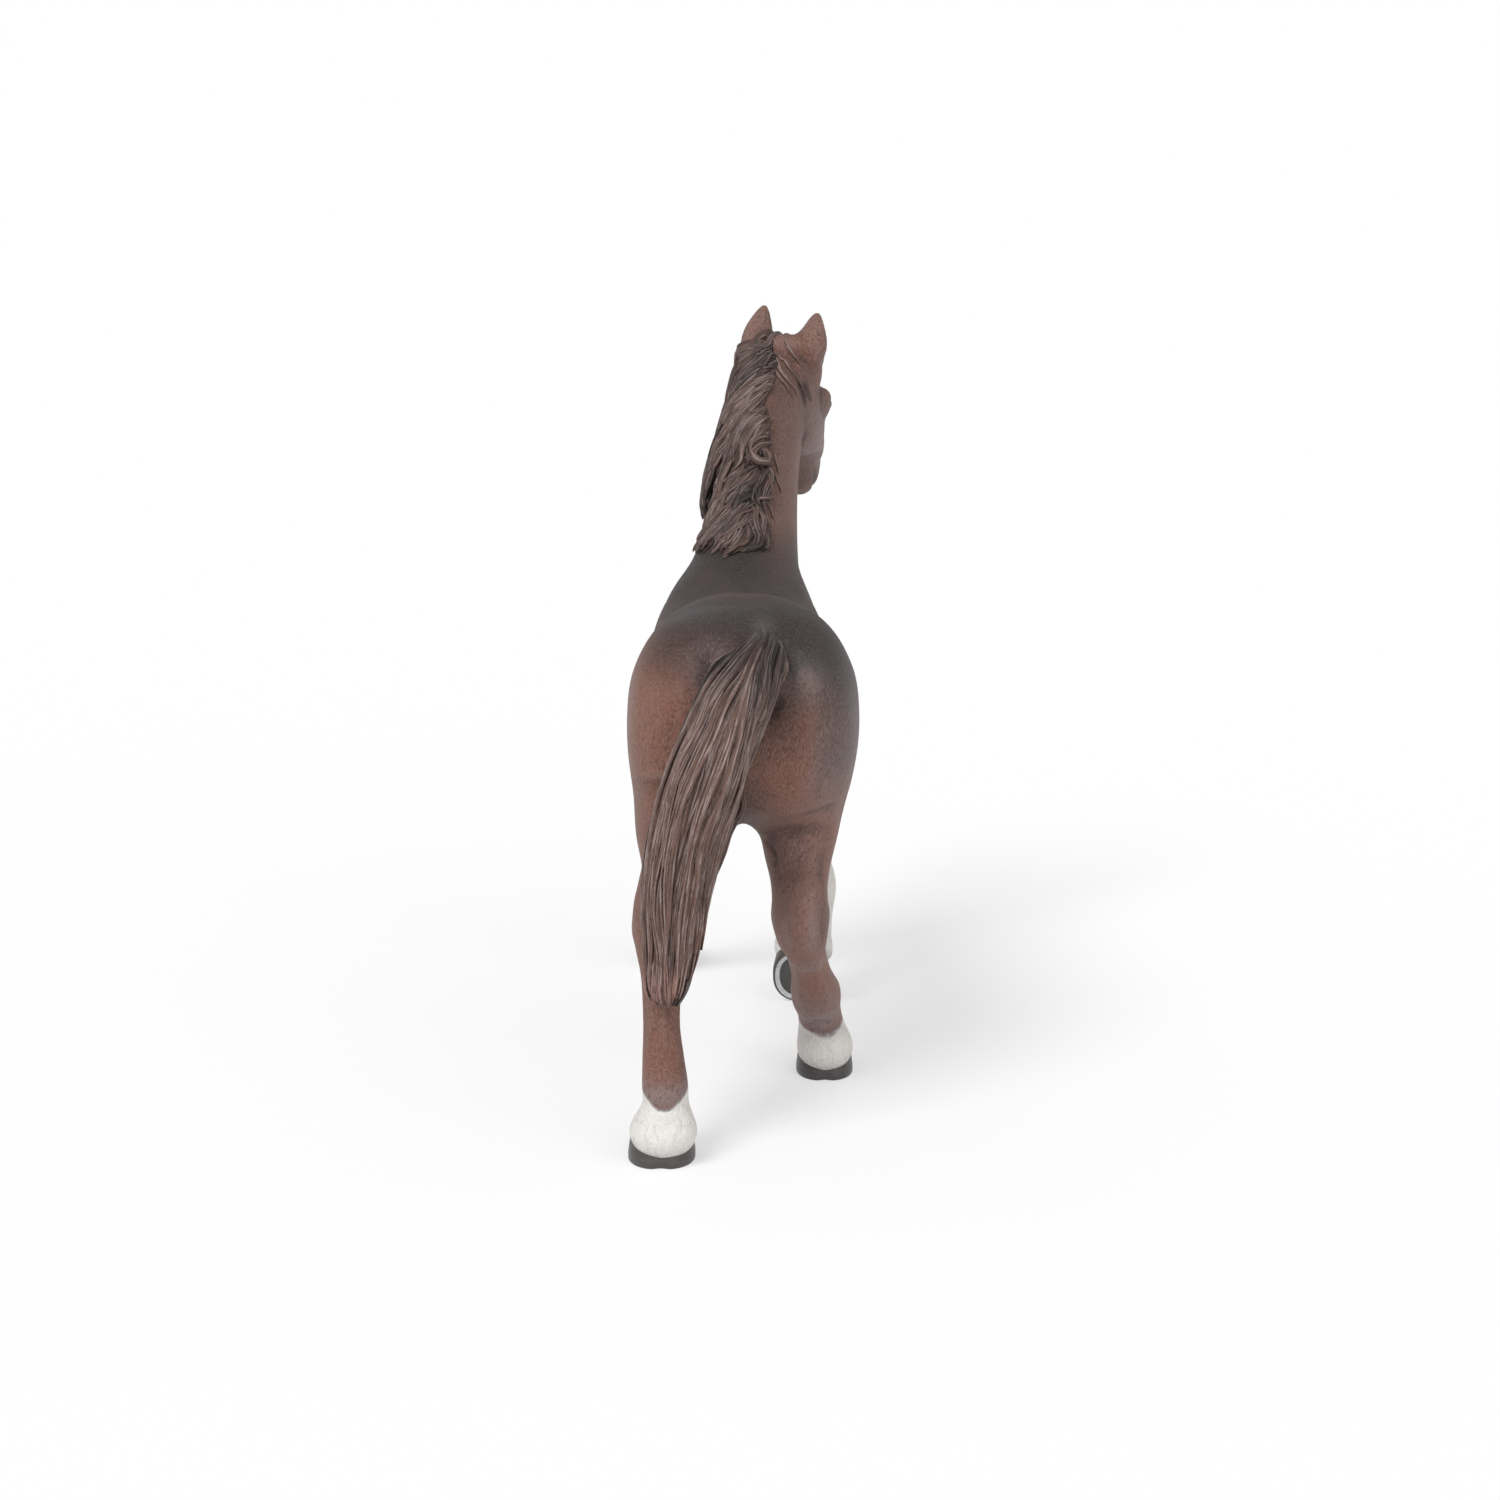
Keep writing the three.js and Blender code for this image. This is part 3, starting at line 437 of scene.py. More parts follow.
def head_form():
    """The skull and the face: upright sections down the head's length, turned into the body's frame."""
    middle, half = (head_shares[:, 1] + head_shares[:, 2]) / 2, (head_shares[:, 1] - head_shares[:, 2]) / 2
    none = np.zeros(len(head_shares))
    rows = np.stack([none, middle * head_depth, -head_shares[:, 0] * head_length,
                     head_shares[:, 3] * head_width / 2, half * head_depth, half * head_depth, head_shares[:, 4]], 1)
    grid = carried(rows, 56, 8, fixed=([1, 0, 0], [0, 1, 0]))
    return grid @ head_turning.T + poll


def ear_form(hand, hollow):
    """A pointed cup: a section carried up the ear's lean, and its hollow moved towards the opening."""
    lean = unit(np.array([0.05, 0.62, 0.77]))
    out, size = (0.72, 1.0) if hand > 0 else (0.94, 0.93)
    base = np.array([hand * out * head_width / 2, -0.22 * head_depth, -0.06 * head_length])
    # Place along the ear, half width and half depth
    shares = np.array([[0.0, 0.80, 0.85], [0.25, 1.0, 0.90], [0.5, 0.92, 0.76], [0.75, 0.62, 0.5],
                       [0.90, 0.38, 0.32], [1.0, 0.13, 0.13]])
    opening = np.array([hand * 0.35, 0.8, -0.45]) * hollow
    rim = 1 - ear_hollow / ear_width if hollow else 1.0
    half = ear_width / 2 * rim * size
    centre = base + shares[:, :1] * ear_length * lean + opening
    if hand < 0:
        centre[:, 0] += -0.8 + 0.6 * shares[:, 0]
    rows = np.concatenate([centre, shares[:, 1:2] * half, shares[:, 2:3] * half, shares[:, 2:3] * half,
                           np.full((len(shares), 1), 2.0)], 1)
    return carried(rows, 32, 8) @ head_turning.T + poll


# Each form's skin, and the step of its grid in millimetres
forms = {"trunk": Form(carried(trunk_rows, 96, 8), 0.45), "neck": Form(carried(neck_rows, 72, 10), 0.4),
         "skull": Form(head_form(), 0.3)}
for leg in leg_shares:
    # A dome over a hind leg's top lets it run softly into the trunk.
    rows = leg_rows(leg)
    if "hind" in leg:
        dome = rows[[0, 0]].copy()
        dome[:, 2] += [8.0, 4.6]
        dome[:, 3:6] *= np.array([[0.2], [0.62]])
        rows = np.concatenate([dome, rows])
    forms[leg] = Form(carried(rows, 56, 10), 0.3)
for hand in (-1, 1):
    forms["ear", hand] = Form(ear_form(hand, 0.0), 0.2)
    forms["ear hollow", hand] = Form(ear_form(hand, ear_hollow), 0.2)


# How far aside each heel lies, and half its width
heel_sizes = {"right_hindleg": (0.1, 4.5), "left_hindleg": (0.35, 5.1), "right_foreleg": (0.2, 5.0),
              "left_foreleg": (0.2, 5.0)}


def heel_ball(name):
    """The soft heel that hangs over the back of a hoof."""
    side, forward, up, fold = sole_shares[name]
    sole = np.array([side * half_width, forward * body_length, up * withers])
    turn = turned(math.radians(fold), 0)
    aside, half = heel_sizes[name]
    return Ball(sole + turn @ np.array([aside, -2.5, 4.95]), (half, 4.5, 4.25), turn)


def shape_body(space):
    """Blends every moulding's form into one skin, then works the muscles, tendons and creases into it. The
    second number of each blend is its fillet's radius in millimetres."""
    space.blend(forms["trunk"], 1.0)
    for name in leg_shares:
        space.blend(forms[name], 4.2 if "hind" in name else 3.4)
        space.blend(heel_ball(name), 1.6)
    space.blend(forms["neck"], 4.0)
    space.blend(forms["skull"], 2.2)
    for hand in (-1, 1):
        def egg(side, back, down, radii):
            return Ball(on_head(hand * side, back, down), radii, head_turning)
        jaw, brow = egg(0.60, -0.56, 0.37, (2.9, 5.6, 7.0)), egg(0.91, -0.17, 0.375, (1.65, 2.4, 2.5))
        nostril, socket = egg(0.62, -0.14, 0.90, (0.8, 0.8, 1.1)), egg(1.13, -0.10, 0.41, (1.25, 1.15, 1.35))
        ear_foot = egg(0.86, -0.22, 0.12, (1.1, 2.2, 3.0))
        space.blend(jaw, 1.4)
        space.blend(brow, 1.2)
        space.blend(forms["ear", hand], 1.0)
        space.carve(forms["ear hollow", hand], 0.3)
        space.carve(nostril, 0.35)
        space.carve(socket, 0.3)
        space.blend(ear_foot, 1.7)
    poll_ridge = Ball((7.2, 97.2, 115.5), (3.6, 2.6, 1.7))
    space.blend(poll_ridge, 2.6)
    work_muscles(space)
    space.soften(1)


# Grooves seen from behind: their line, width and depth in millimetres; a negative depth is a ridge.
grooves = [
    # Right hock, gaskin and cannon
    ([(6.8, 8.1, 30.8), (7.0, 9.9, 27.7), (7.8, 12.4, 24.7), (9.1, 13.7, 23.1), (10.3, 14.2, 22.7),
      (11.6, 14.4, 23.2), (12.4, 12.8, 25.7), (12.2, 9.0, 30.5), (11.8, 8.6, 34.3)], 0.60, 0.30),
    ([(9.5, 9.1, 41.3), (9.7, 7.5, 36.4), (9.8, 7.1, 31.8), (10.0, 10.3, 25.5)], 1.5, -0.40),
    ([(8.4, 7.3, 49.5), (8.4, 9.9, 42.4), (8.0, 9.4, 37.1), (7.9, 9.2, 32.5)], 1.2, 0.12),
    ([(11.4, 8.0, 49.5), (11.6, 10.6, 42.4), (11.7, 9.6, 35.1)], 1.2, 0.12),
    ([(12.6, 19.0, 18.7), (12.6, 19.6, 17.7), (12.9, 22.3, 13.8), (13.0, 23.0, 12.6)], 0.40, 0.20),
    ([(11.2, 17.2, 20.5), (11.4, 19.6, 17.2), (11.6, 22.6, 13.4)], 0.55, 0.20),
    # Left cannon and fetlock
    ([(-10.7, -7.3, 24.8), (-10.6, -9.6, 19.4), (-10.3, -11.8, 16.6), (-10.6, -14.4, 13.9),
      (-11.2, -15.5, 10.4)], 0.5, 0.40),
    ([(-12.7, -7.6, 24.8), (-12.9, -9.9, 19.5), (-13.0, -11.9, 16.6), (-12.8, -14.5, 12.9)], 0.6, 0.28),
    ([(-11.7, -8.1, 23.5), (-11.7, -9.9, 19.5), (-11.5, -13.2, 14.6)], 0.6, -0.22),
    # Between the muscles of the thighs, and the folds of the groin
    ([(12.7, 1.8, 69.5), (12.6, 1.5, 62.5), (11.9, 1.8, 56.9), (11.3, 3.3, 52.0), (10.8, 7.6, 46.6)], 2.2, 0.42),
    ([(-10.6, 0.6, 68.3), (-10.8, -0.3, 61.9), (-11.6, -0.1, 57.0)], 2.0, 0.30),
    ([(0.6, 2.6, 52.4), (2.1, 2.3, 51.8), (3.5, 3.3, 50.9), (4.9, 4.9, 49.8), (6.8, 7.0, 48.5)], 0.40, 0.40),
    ([(1.0, 1.1, 54.6), (2.4, 0.4, 54.4), (3.8, 0.8, 54.0), (5.0, 1.4, 53.4)], 0.35, 0.30),
    ([(1.0, 3.2, 50.8), (2.6, 4.0, 50.0), (4.2, 5.6, 48.9)], 0.35, 0.26),
    ([(3.0, 14.4, 44.6), (4.5, 12.3, 42.9), (5.4, 11.5, 41.5), (5.2, 11.8, 39.6)], 0.40, 0.24),
    # Over the haunches and round the tail's root
    ([(4.5, 9.9, 79.1), (7.6, 6.4, 76.4), (9.6, 5.3, 74.5), (12.0, 4.5, 71.8), (13.8, 4.2, 67.0)], 2.4, 0.42),
    ([(5.3, 6.4, 76.9), (7.0, 4.4, 73.6), (7.6, 3.7, 71.4), (7.1, 3.1, 69.3), (5.3, 2.0, 66.6)], 0.8, 0.50),
    ([(5.6, 2.2, 67.0), (9.3, 2.2, 66.6), (12.2, 2.9, 67.4), (13.6, 3.8, 70.5)], 1.6, 0.22),
    ([(14.9, 4.6, 60.0), (14.1, 6.6, 52.3), (13.8, 12.2, 45.3)], 1.8, 0.22),
    ([(-11.6, 5.4, 72.1), (-10.7, 0.6, 67.3), (-10.8, 0.0, 62.3)], 1.6, 0.22),
    ([(-4.9, 6.4, 76.5), (-5.9, 4.2, 71.5), (-7.2, 1.1, 66.1)], 2.6, 0.60),
    ([(0.0, 14.0, 80.8), (2.0, 11.0, 79.8), (2.7, 8.9, 78.8), (3.5, 6.7, 77.0)], 1.5, -0.40),
    # Behind the right ear
    ([(9.5, 92.6, 109.3), (9.7, 93.0, 108.4), (10.2, 93.5, 107.2), (10.5, 93.8, 106.0),
      (10.7, 94.2, 105.0)], 0.50, 0.95),
    ([(10.3, 94.0, 109.0), (10.6, 94.4, 108.1), (11.0, 94.9, 107.3), (11.4, 95.7, 106.6),
      (11.7, 96.4, 105.8)], 0.50, 0.85),
]
# Swells: their middle, radii and height in millimetres; a negative height is a hollow.
swells = [
    ((7.8, 2.4, 60.0), (3.8, 3.4, 8.5), 0.55), ((9.8, 3.0, 70.8), (3.8, 3.0, 3.2), 0.42),
    ((-9.6, 2.4, 69.5), (3.6, 3.2, 4.4), 0.35), ((-7.6, 0.4, 59.0), (3.4, 3.0, 7.0), 0.45),
    ((-2.4, 95.5, 112.4), (2.5, 3.5, 2.8), 0.6), ((-1.4, 97.5, 117.4), (2.4, 3.2, 2.2), -0.5),
    ((-3.5, 93.0, 104.5), (2.5, 3.5, 3.5), -0.5), ((2.6, 13.5, 46.0), (3.0, 4.0, 3.0), 0.55),
    ((-8.0, 75.0, 82.5), (2.6, 4.0, 3.6), 0.6), ((13.6, 108.0, 95.9), (2.5, 5.0, 4.5), 0.7),
    ((-11.5, 3.5, 54.5), (3.5, 4.0, 3.2), 0.5), ((9.0, 4.6, 50.6), (5.0, 4.0, 2.2), 0.35),
    ((15.2, 7.0, 61.5), (2.6, 4.5, 6.0), 0.3), ((-14.6, 5.0, 60.0), (2.6, 4.0, 6.0), 0.3),
    ((4.2, 3.4, 66.4), (2.0, 3.0, 2.2), -0.9), ((2.2, 3.6, 62.6), (2.0, 3.0, 3.0), -0.7),
    ((11.3, 20.6, 15.2), (3.0, 2.0, 2.6), 0.3), ((-11.6, -13.6, 12.4), (2.4, 1.8, 2.4), 0.3),
]
# The same for both sides of the head, placed aside, back and down on it: cheek, brow, face, lip and forehead
head_swells = [
    ((0.80, -0.62, 0.36), (2.2, 3.4, 4.6), 0.35), ((0.9, -0.2, 0.42), (2.0, 1.2, 4.0), 0.25),
    ((0.62, -0.30, 0.62), (2.0, 3.0, 4.5), -0.35), ((0.6, -0.02, 0.86), (1.6, 1.6, 1.8), 0.3),
    ((0.75, 0.02, 0.20), (1.8, 2.0, 1.8), -0.35),
]
# Grooves of the head: the mouth, the edge of the cheek and the eyelid
head_grooves = [
    ([(-0.10, -0.32, 1.0), (0.10, -0.32, 0.995), (0.46, -0.34, 0.95), (0.60, -0.38, 0.885), (0.66, -0.43, 0.80),
      (0.67, -0.46, 0.77)], 0.50, 0.60),
    ([(0.62, -0.92, 0.46), (0.86, -0.72, 0.56), (0.78, -0.45, 0.60), (0.72, -0.30, 0.70)], 0.8, 0.25),
    ([(1.10, 0.04, 0.33), (1.16, -0.10, 0.30), (1.14, -0.26, 0.33)], 0.35, 0.25),
]


def work_muscles(space):
    """Sinks and raises the skin along the tables' lines, and along those that both sides or all legs share."""
    for line, width, depth in grooves:
        space.crease(line, width, depth)
    for centre, radii, height in swells:
        space.swell(centre, radii, height)
    # The full mane behind the left ear, and the right cheek
    for place, angle in ((6.3, 1.3), (5.95, 1.45)):
        space.swell(section_at(neck_rows, place, math.pi / 2 + angle), (2.8, 3.2, 3.4), 0.7)
    space.swell(on_head(1.0, -0.50, 0.52), (2.2, 4.5, 6.0), 0.5)
    space.swell(on_head(1.0, -0.42, 0.68), (2.2, 3.5, 4.0), 0.75)
    space.swell((-7.2, 65, 87), (4.0, 6.0, 5.5), 1.1)
    # Along the back and over the croup
    space.crease([(0, 3, 77.5), (0, 12, 80.2), (0, 27, 80.9)], 1.5, 0.4)
    space.crease([(0, 30, 80.4), (-0.2, 45, 78.4), (-0.4, 58, 77.6)], 1.6, 0.3)
    for hand in (-1, 1):
        def place(x, y, z):
            return (hand * x, y, z)
        space.swell(place(8, 16, 78), (5.5, 10, 5), 0.4)
        space.swell(place(13.5, 31, 72.5), (3, 3.4, 4.2), 0.6)
        space.swell(place(16.5, 38, 62), (4, 5.5, 7), -0.8)
        space.crease([place(17.2, 14, 60), place(16.8, 15, 53), place(14.5, 16, 46)], 1.6, 0.3)
        # Ribs, elbow and shoulder
        for forward in range(0, 25, 5):
            rib = [place(16.3, 46 + forward, 68), place(17.4, 43.5 + forward, 60), place(15.2, 41 + forward, 52)]
            space.crease(rib, 1.2, 0.13)
        space.crease([place(11, 66, 79), place(15.2, 69, 70), place(16, 67, 60), place(14.5, 65, 54)], 1.6, 0.45)
        space.crease([place(14.6, 70, 64), place(15.0, 77, 59), place(12.6, 84, 57)], 1.3, 0.35)
        space.swell(place(13.5, 76, 66), (3.4, 5, 7), 0.45)
        space.swell(place(10.5, 86, 60), (4, 3.5, 4.5), 0.7)
        space.swell(place(5.0, 87, 56), (3.2, 3, 5), 0.5)
        for (side, back, down), radii, height in head_swells:
            space.swell(on_head(hand * side, back, down), radii, height)
        for line, width, depth in head_grooves:
            space.crease([on_head(hand * side, back, down) for side, back, down in line], width, depth)
    space.crease([(-0.5, 89.5, 68), (-0.5, 88.5, 60), (-0.5, 84, 50)], 1.4, 0.6)
    # The neck's two long muscles and the throat
    for hand, base in ((-1, math.pi), (1, 0.0)):
        angles = [base - hand * a for a in (0.55, 0.40, 0.30, 0.28)]
        path = [section_at(neck_rows, p, a) for p, a in zip((1.2, 2.4, 3.8, 5.0), angles)]
        space.crease(path, 1.5, 0.4)
    # Tendons, hocks, knees and fetlocks
    front, back = math.pi / 2, -math.pi / 2
    for name in leg_shares:
        rows, hind = leg_rows(name), "hind" in name
        top, foot = (8.2, 11.2) if hind else (8.6, 10.4)
        for base, out in ((0.0, 1), (math.pi, -1)):
            space.crease([section_at(rows, p, base - out * 0.55) for p in np.linspace(top, foot, 4)], 0.75, 0.34)
            if hind:
                space.crease([section_at(rows, p, base - out * 0.75) for p in (3.4, 4.4, 5.6, 6.6)], 1.2, 0.25)
                space.swell(section_at(rows, 7.2, base + out * 0.2, -0.4), (1.3, 1.6, 1.9), 0.35)
            else:
                space.crease([section_at(rows, p, base + out * 0.1) for p in (6.2, 7.0, 7.8)], 0.8, 0.25)
        if hind:
            space.swell(section_at(rows, 6.6, back, -0.3), (1.1, 1.0, 1.8), 0.45)
            space.swell(section_at(rows, 12.2, back, -0.2), (2.0, 1.2, 1.8), 0.4)
        else:
            space.swell(section_at(rows, 6.8, front, -0.2), (1.8, 1.0, 1.8), 0.4)
            space.swell(section_at(rows, 11.1, back, -0.2), (1.8, 1.1, 1.5), 0.4)


# ---------------------------------------------------------------- seams between the mouldings

neck_seam = between(neck_rows, np.array([1.35]))[0, :3]
neck_axis = unit(between(neck_rows, np.array([1.85]))[0, :3] - neck_seam)
head_seam = poll + head_turning @ np.array([0, -0.42 * head_depth, -0.12 * head_length])
lean = math.radians(20)
head_axis = turned(head_turn, 2) @ np.array([0, math.cos(lean), math.sin(lean)])
fine_trunk = refined(trunk_rows, 2)
leg_seam = (fine_trunk[:, 2] - fine_trunk[:, 5]).min() - 1.2
level = np.array([0, 0, leg_seam])
mid_length = body_length / 2

# Each moulding's seams: a point on the plane, and the way to its own side
seams = {
    "trunk": [(level, (0, 0, 1)), (neck_seam, -neck_axis)],
    "neck": [(neck_seam, neck_axis), (head_seam, -head_axis)],
    "head": [(neck_seam, neck_axis), (head_seam, head_axis)],
}
for name in leg_shares:
    seams[name] = [(level, (0, 0, -1)), ((0, 0, 0), (1 if "right" in name else -1, 0, 0)),
                   ((0, mid_length, 0), (0, 1 if "fore" in name else -1, 0))]

# The box that each moulding is worked out in, and its grid's step
boxes = {
    "trunk": ((-22, -4, 40), (22, 96, 88), 0.45), "neck": ((-18, 60, 56), (22, 112, 124), 0.32),
    "head": ((-8, 86, 78), (24, 128, 128), 0.23),
}
for name in leg_shares:
    path = leg_rows(name)[:, :3]
    low = path[path[:, 2] < leg_seam + 8]
    boxes[name] = (low.min(0) - (9, 13, 7), np.append((low.max(0) + (9, 20, 0))[:2], leg_seam + 4), 0.27)


# ---------------------------------------------------------------- materials

def paint(red, green, blue):
    """A colour given as 0 to 255 on the screen, as light."""
    share = np.array([red, green, blue]) / 255
    light = np.where(share <= 0.04045, share / 12.92, ((share + 0.055) / 1.055) ** 2.4)
    return (*light.tolist(), 1.0)


class Value:
    """A number that varies over a surface, with Python's own arithmetic."""

    def __init__(self, finish, socket):
        self.finish, self.socket = finish, socket

    def _math(self, operation, *others):
        return self.finish.make("ShaderNodeMath", {"operation": operation}, dict(enumerate(others)))

    def __add__(self, other):
        return self._math("ADD", self, other)

    def __sub__(self, other):
        return self._math("SUBTRACT", self, other)

    def __mul__(self, other):
        return self._math("MULTIPLY", self, other)

    def clear(self):
        """Kept between 0 and 1."""
        return self.finish.make("ShaderNodeMath", {"operation": "ADD", "use_clamp": True}, {0: self, 1: 0.0})


class Finish:
    """One material, built from expressions."""

    def __init__(self, name):
        self.material = bpy.data.materials.new(name)
        self.material.use_nodes = True
        self.tree = self.material.node_tree
        self.tree.nodes.clear()

    def make(self, kind, settings=None, sockets=None, out=0):
        """A node of a kind: its settings first, then its sockets' values or links."""
        node = self.tree.nodes.new(kind)
        for key, value in (settings or {}).items():
            setattr(node, key, value)
        for key, value in (sockets or {}).items():
            socket = node.inputs[key] if isinstance(key, int) else next(
                s for s in node.inputs if key in (s.identifier, s.name))
            if isinstance(value, Value):
                self.tree.links.new(value.socket, socket)
            else:
                socket.default_value = value
        result = node.outputs[out] if isinstance(out, int) else next(
            s for s in node.outputs if out in (s.identifier, s.name))
        return Value(self, result)

    def attribute(self, name):
        return self.make("ShaderNodeAttribute", {"attribute_name": name}, out="Fac")

    def place(self, x=1000.0, y=1000.0, z=1000.0):
        """The place on the object in millimetres, squeezed along an axis where asked."""
        where = self.make("ShaderNodeTexCoord", out="Object")
        return self.make("ShaderNodeVectorMath", {"operation": "MULTIPLY"}, {0: where, 1: (x, y, z)})

    def noise(self, where, scale, detail=2.0, rough=0.5):
        return self.make("ShaderNodeTexNoise", {},
                         {"Vector": where, "Scale": scale, "Detail": detail, "Roughness": rough})

    def mix(self, share, one, other):
        return self.make("ShaderNodeMix", {"data_type": "RGBA"},
                         {"Factor_Float": share, "A_Color": one, "B_Color": other}, "Result_Color")

    def step(self, value, low, high):
        """0 below low, 1 above high, smooth between."""
        return self.make("ShaderNodeMapRange", {"interpolation_type": "SMOOTHSTEP"},
                         {"Value": value, "From Min": low, "From Max": high})

    def bump(self, height, distance, strength):
        return self.make("ShaderNodeBump", {}, {"Height": height, "Distance": distance, "Strength": strength})

    def done(self, **sockets):
        """Ends the material in a Principled shader with these sockets."""
        surface = self.make("ShaderNodeBsdfPrincipled", {}, {k.replace("_", " "): v for k, v in sockets.items()})
        self.make_output(surface)
        return self.material

    def make_output(self, surface):
        output = self.tree.nodes.new("ShaderNodeOutputMaterial")
        self.tree.links.new(surface.socket, output.inputs["Surface"])


def coat_paint():
    """Reddish brown vinyl with short fine hair strokes in it, airbrushed dark and white by hand, darkened as painted
    shade in its hollows and paled with a bluish painted sheen and painted highlights.
    """
    f = Finish("coat_paint")
    dark, sock, tone, painted_sheen, drybrush_and_crease_shade = (f.attribute(name) for name in ("dark", "sock", "tone", "painted_sheen", "drybrush_and_crease_shade"))
    strokes = f.noise(f.place(4200, 4200, 1300), 1.0, 3.0, 0.62)
    pebbles = f.noise(f.place(1900, 1900, 1300), 1.0, 3.0, 0.65)
    clouds = f.noise(f.place(), 0.16, 3.0)
    redness = f.step(tone + (clouds - 0.5) * 0.7, 0.0, 1.0)
    brown = f.mix(redness, paint(102, 79, 72), paint(141, 96, 80))
    # The dark is airbrushed paint along the back, together with painted shade under the tail, between the thighs,
    # beside the mane and in hollows.
    cover = (dark * 1.12 + (clouds - 0.5) * 0.35 * dark + (pebbles - 0.5) * 0.3).clear()
    colour = f.mix(cover, brown, paint(50, 42, 42))
    # A bluish pale painted sheen, with painted highlights on ridges, laid over the brown in patches.
    sheen_share = (painted_sheen + (clouds - 0.5) * 0.3 * painted_sheen + (pebbles - 0.5) * 0.3 * painted_sheen).clear()
    colour = f.mix(sheen_share, colour, paint(158, 150, 153))
    # What stands out is painted pale, as dry-brushing and painted highlight, and the grooves painted dark as shade; the
    # strokes are pale and dark, and the pores dark
    colour = f.mix(f.step(drybrush_and_crease_shade, 0.58, 1.0) * 0.30, colour, paint(164, 136, 127))
    colour = f.mix(f.step(drybrush_and_crease_shade, 0.42, 0.0) * 0.65, colour, paint(46, 33, 30))
    colour = f.mix(f.step(strokes, 0.48, 0.68) * (cover * -0.08 + 0.30), colour, paint(176, 154, 147))
    colour = f.mix(f.step(strokes, 0.46, 0.30) * 0.32, colour, paint(56, 42, 39))
    colour = f.mix(f.step(pebbles, 0.48, 0.34) * 0.40, colour, paint(46, 34, 31))
    # The white is brushed on thickly, with a thin greyish edge.
    brushed = f.noise(f.place(1500, 1500, 330), 1.0, 3.0, 0.6)
    white = f.mix(f.step(brushed, 0.52, 0.72) * 0.45, paint(247, 243, 238), paint(206, 202, 200))
    edge = sock + (brushed - 0.5) * 0.35
    colour = f.mix(f.step(edge, 0.30, 0.52), colour, paint(166, 158, 158))
    colour = f.mix(f.step(edge, 0.48, 0.72), colour, white)
    height = strokes * 0.8 + pebbles * 0.45 + (brushed - 0.5) * 0.9 * f.step(sock, 0.4, 0.8)
    relief = f.bump(height, 0.0006, 0.9)
    return f.done(Base_Color=colour, Roughness=f.step(strokes, 0.2, 0.8) * 0.16 + 0.40, Normal=relief,
                  Specular_IOR_Level=0.30, Sheen_Weight=0.06, Sheen_Roughness=0.45)


def hair_paint():
    """Dark brown carved hair, its ridges dry-brushed pale with painted highlight and its grooves darkened as painted
    shade.
    """
    f = Finish("hair_paint")
    ridge, tone = f.attribute("ridge"), f.attribute("tone")
    uv = f.make("ShaderNodeUVMap", {"uv_map": "along"})
    drawn_out = f.make("ShaderNodeVectorMath", {"operation": "MULTIPLY"}, {0: uv, 1: (3.2, 0.26, 1.0)})
    fine = f.noise(drawn_out, 1.0, 3.0, 0.6)
    patches = f.noise(f.place(), 0.3)
    grain = f.noise(f.place(), 2.6, 2.0, 0.6)
    base = f.mix(f.step(tone + (patches - 0.5) * 0.6, 0.0, 0.9), paint(56, 46, 44), paint(116, 90, 81))
    base = f.mix(f.step(tone, 1.0, 1.8), base, paint(158, 122, 112))
    height = (ridge + (fine - 0.5) * 0.9 + (grain - 0.5) * 0.25).clear()
    # The grooves are darkened as painted shade, and the ridges paled as dry-brushing and painted highlight.
    colour = f.mix(f.step(height, 0.54, 0.22) * 0.96, base, paint(30, 22, 21))
    colour = f.mix(f.step(height, 0.66, 0.92) * (tone.clear() * 0.40 + 0.28), colour, paint(180, 162, 158))
    relief = f.bump(fine + grain * 0.3, 0.0006, 0.9)
    return f.done(Base_Color=colour, Roughness=f.step(height, 0.0, 1.0) * 0.12 + 0.36, Normal=relief,
                  Specular_IOR_Level=0.32, Sheen_Weight=0.05, Sheen_Roughness=0.45)


def hoof_paint():
    """Semi-gloss black horn with growth rings and a few rubbed specks."""
    f = Finish("hoof_paint")
    rings = f.noise(f.place(150, 150, 1900), 1.0)
    specks = f.step(f.noise(f.place(), 1.7), 0.66, 0.72)
    colour = f.mix(rings, paint(62, 59, 58), paint(84, 81, 80))
    colour = f.mix(specks * 0.35, colour, paint(140, 136, 132))
    return f.done(Base_Color=colour, Roughness=rings * 0.12 + 0.36, Normal=f.bump(rings, 0.0001, 0.6))


def shoe_paint():
    """Silver paint, brushed on by hand."""
    f = Finish("shoe_paint")
    brushed = f.noise(f.place(700, 2600, 2600), 1.0)
    colour = f.mix(brushed, paint(170, 170, 172), paint(222, 222, 224))
    return f.done(Base_Color=colour, Roughness=brushed * 0.2 + 0.3, Metallic=0.35, Normal=f.bump(brushed, 0.00008, 0.5))


def eye_paint():
    """Glossy near-black eye, a little brown where the light enters."""
    f = Finish("eye_paint")
    depth = f.noise(f.place(), 1.4, 1.0)
    return f.done(Base_Color=f.mix(depth, paint(20, 14, 12), paint(44, 30, 24)), Roughness=depth * 0.06 + 0.08)


coat, hair, horn, silver, eye_gloss = coat_paint(), hair_paint(), hoof_paint(), shoe_paint(), eye_paint()


# ---------------------------------------------------------------- pieces

def in_metres(points):
    """Points of the drawing put into the frame, as a mesh takes them."""
    return ((points + drawing_place) / 1000).astype(np.float32).ravel()


def give_values(mesh, values):
    """Named numbers at a mesh's points, for its material to read."""
    for key, value in values.items():
        mesh.attributes.new(key, "FLOAT", "POINT").data.foreach_set("value", value.astype(np.float32))


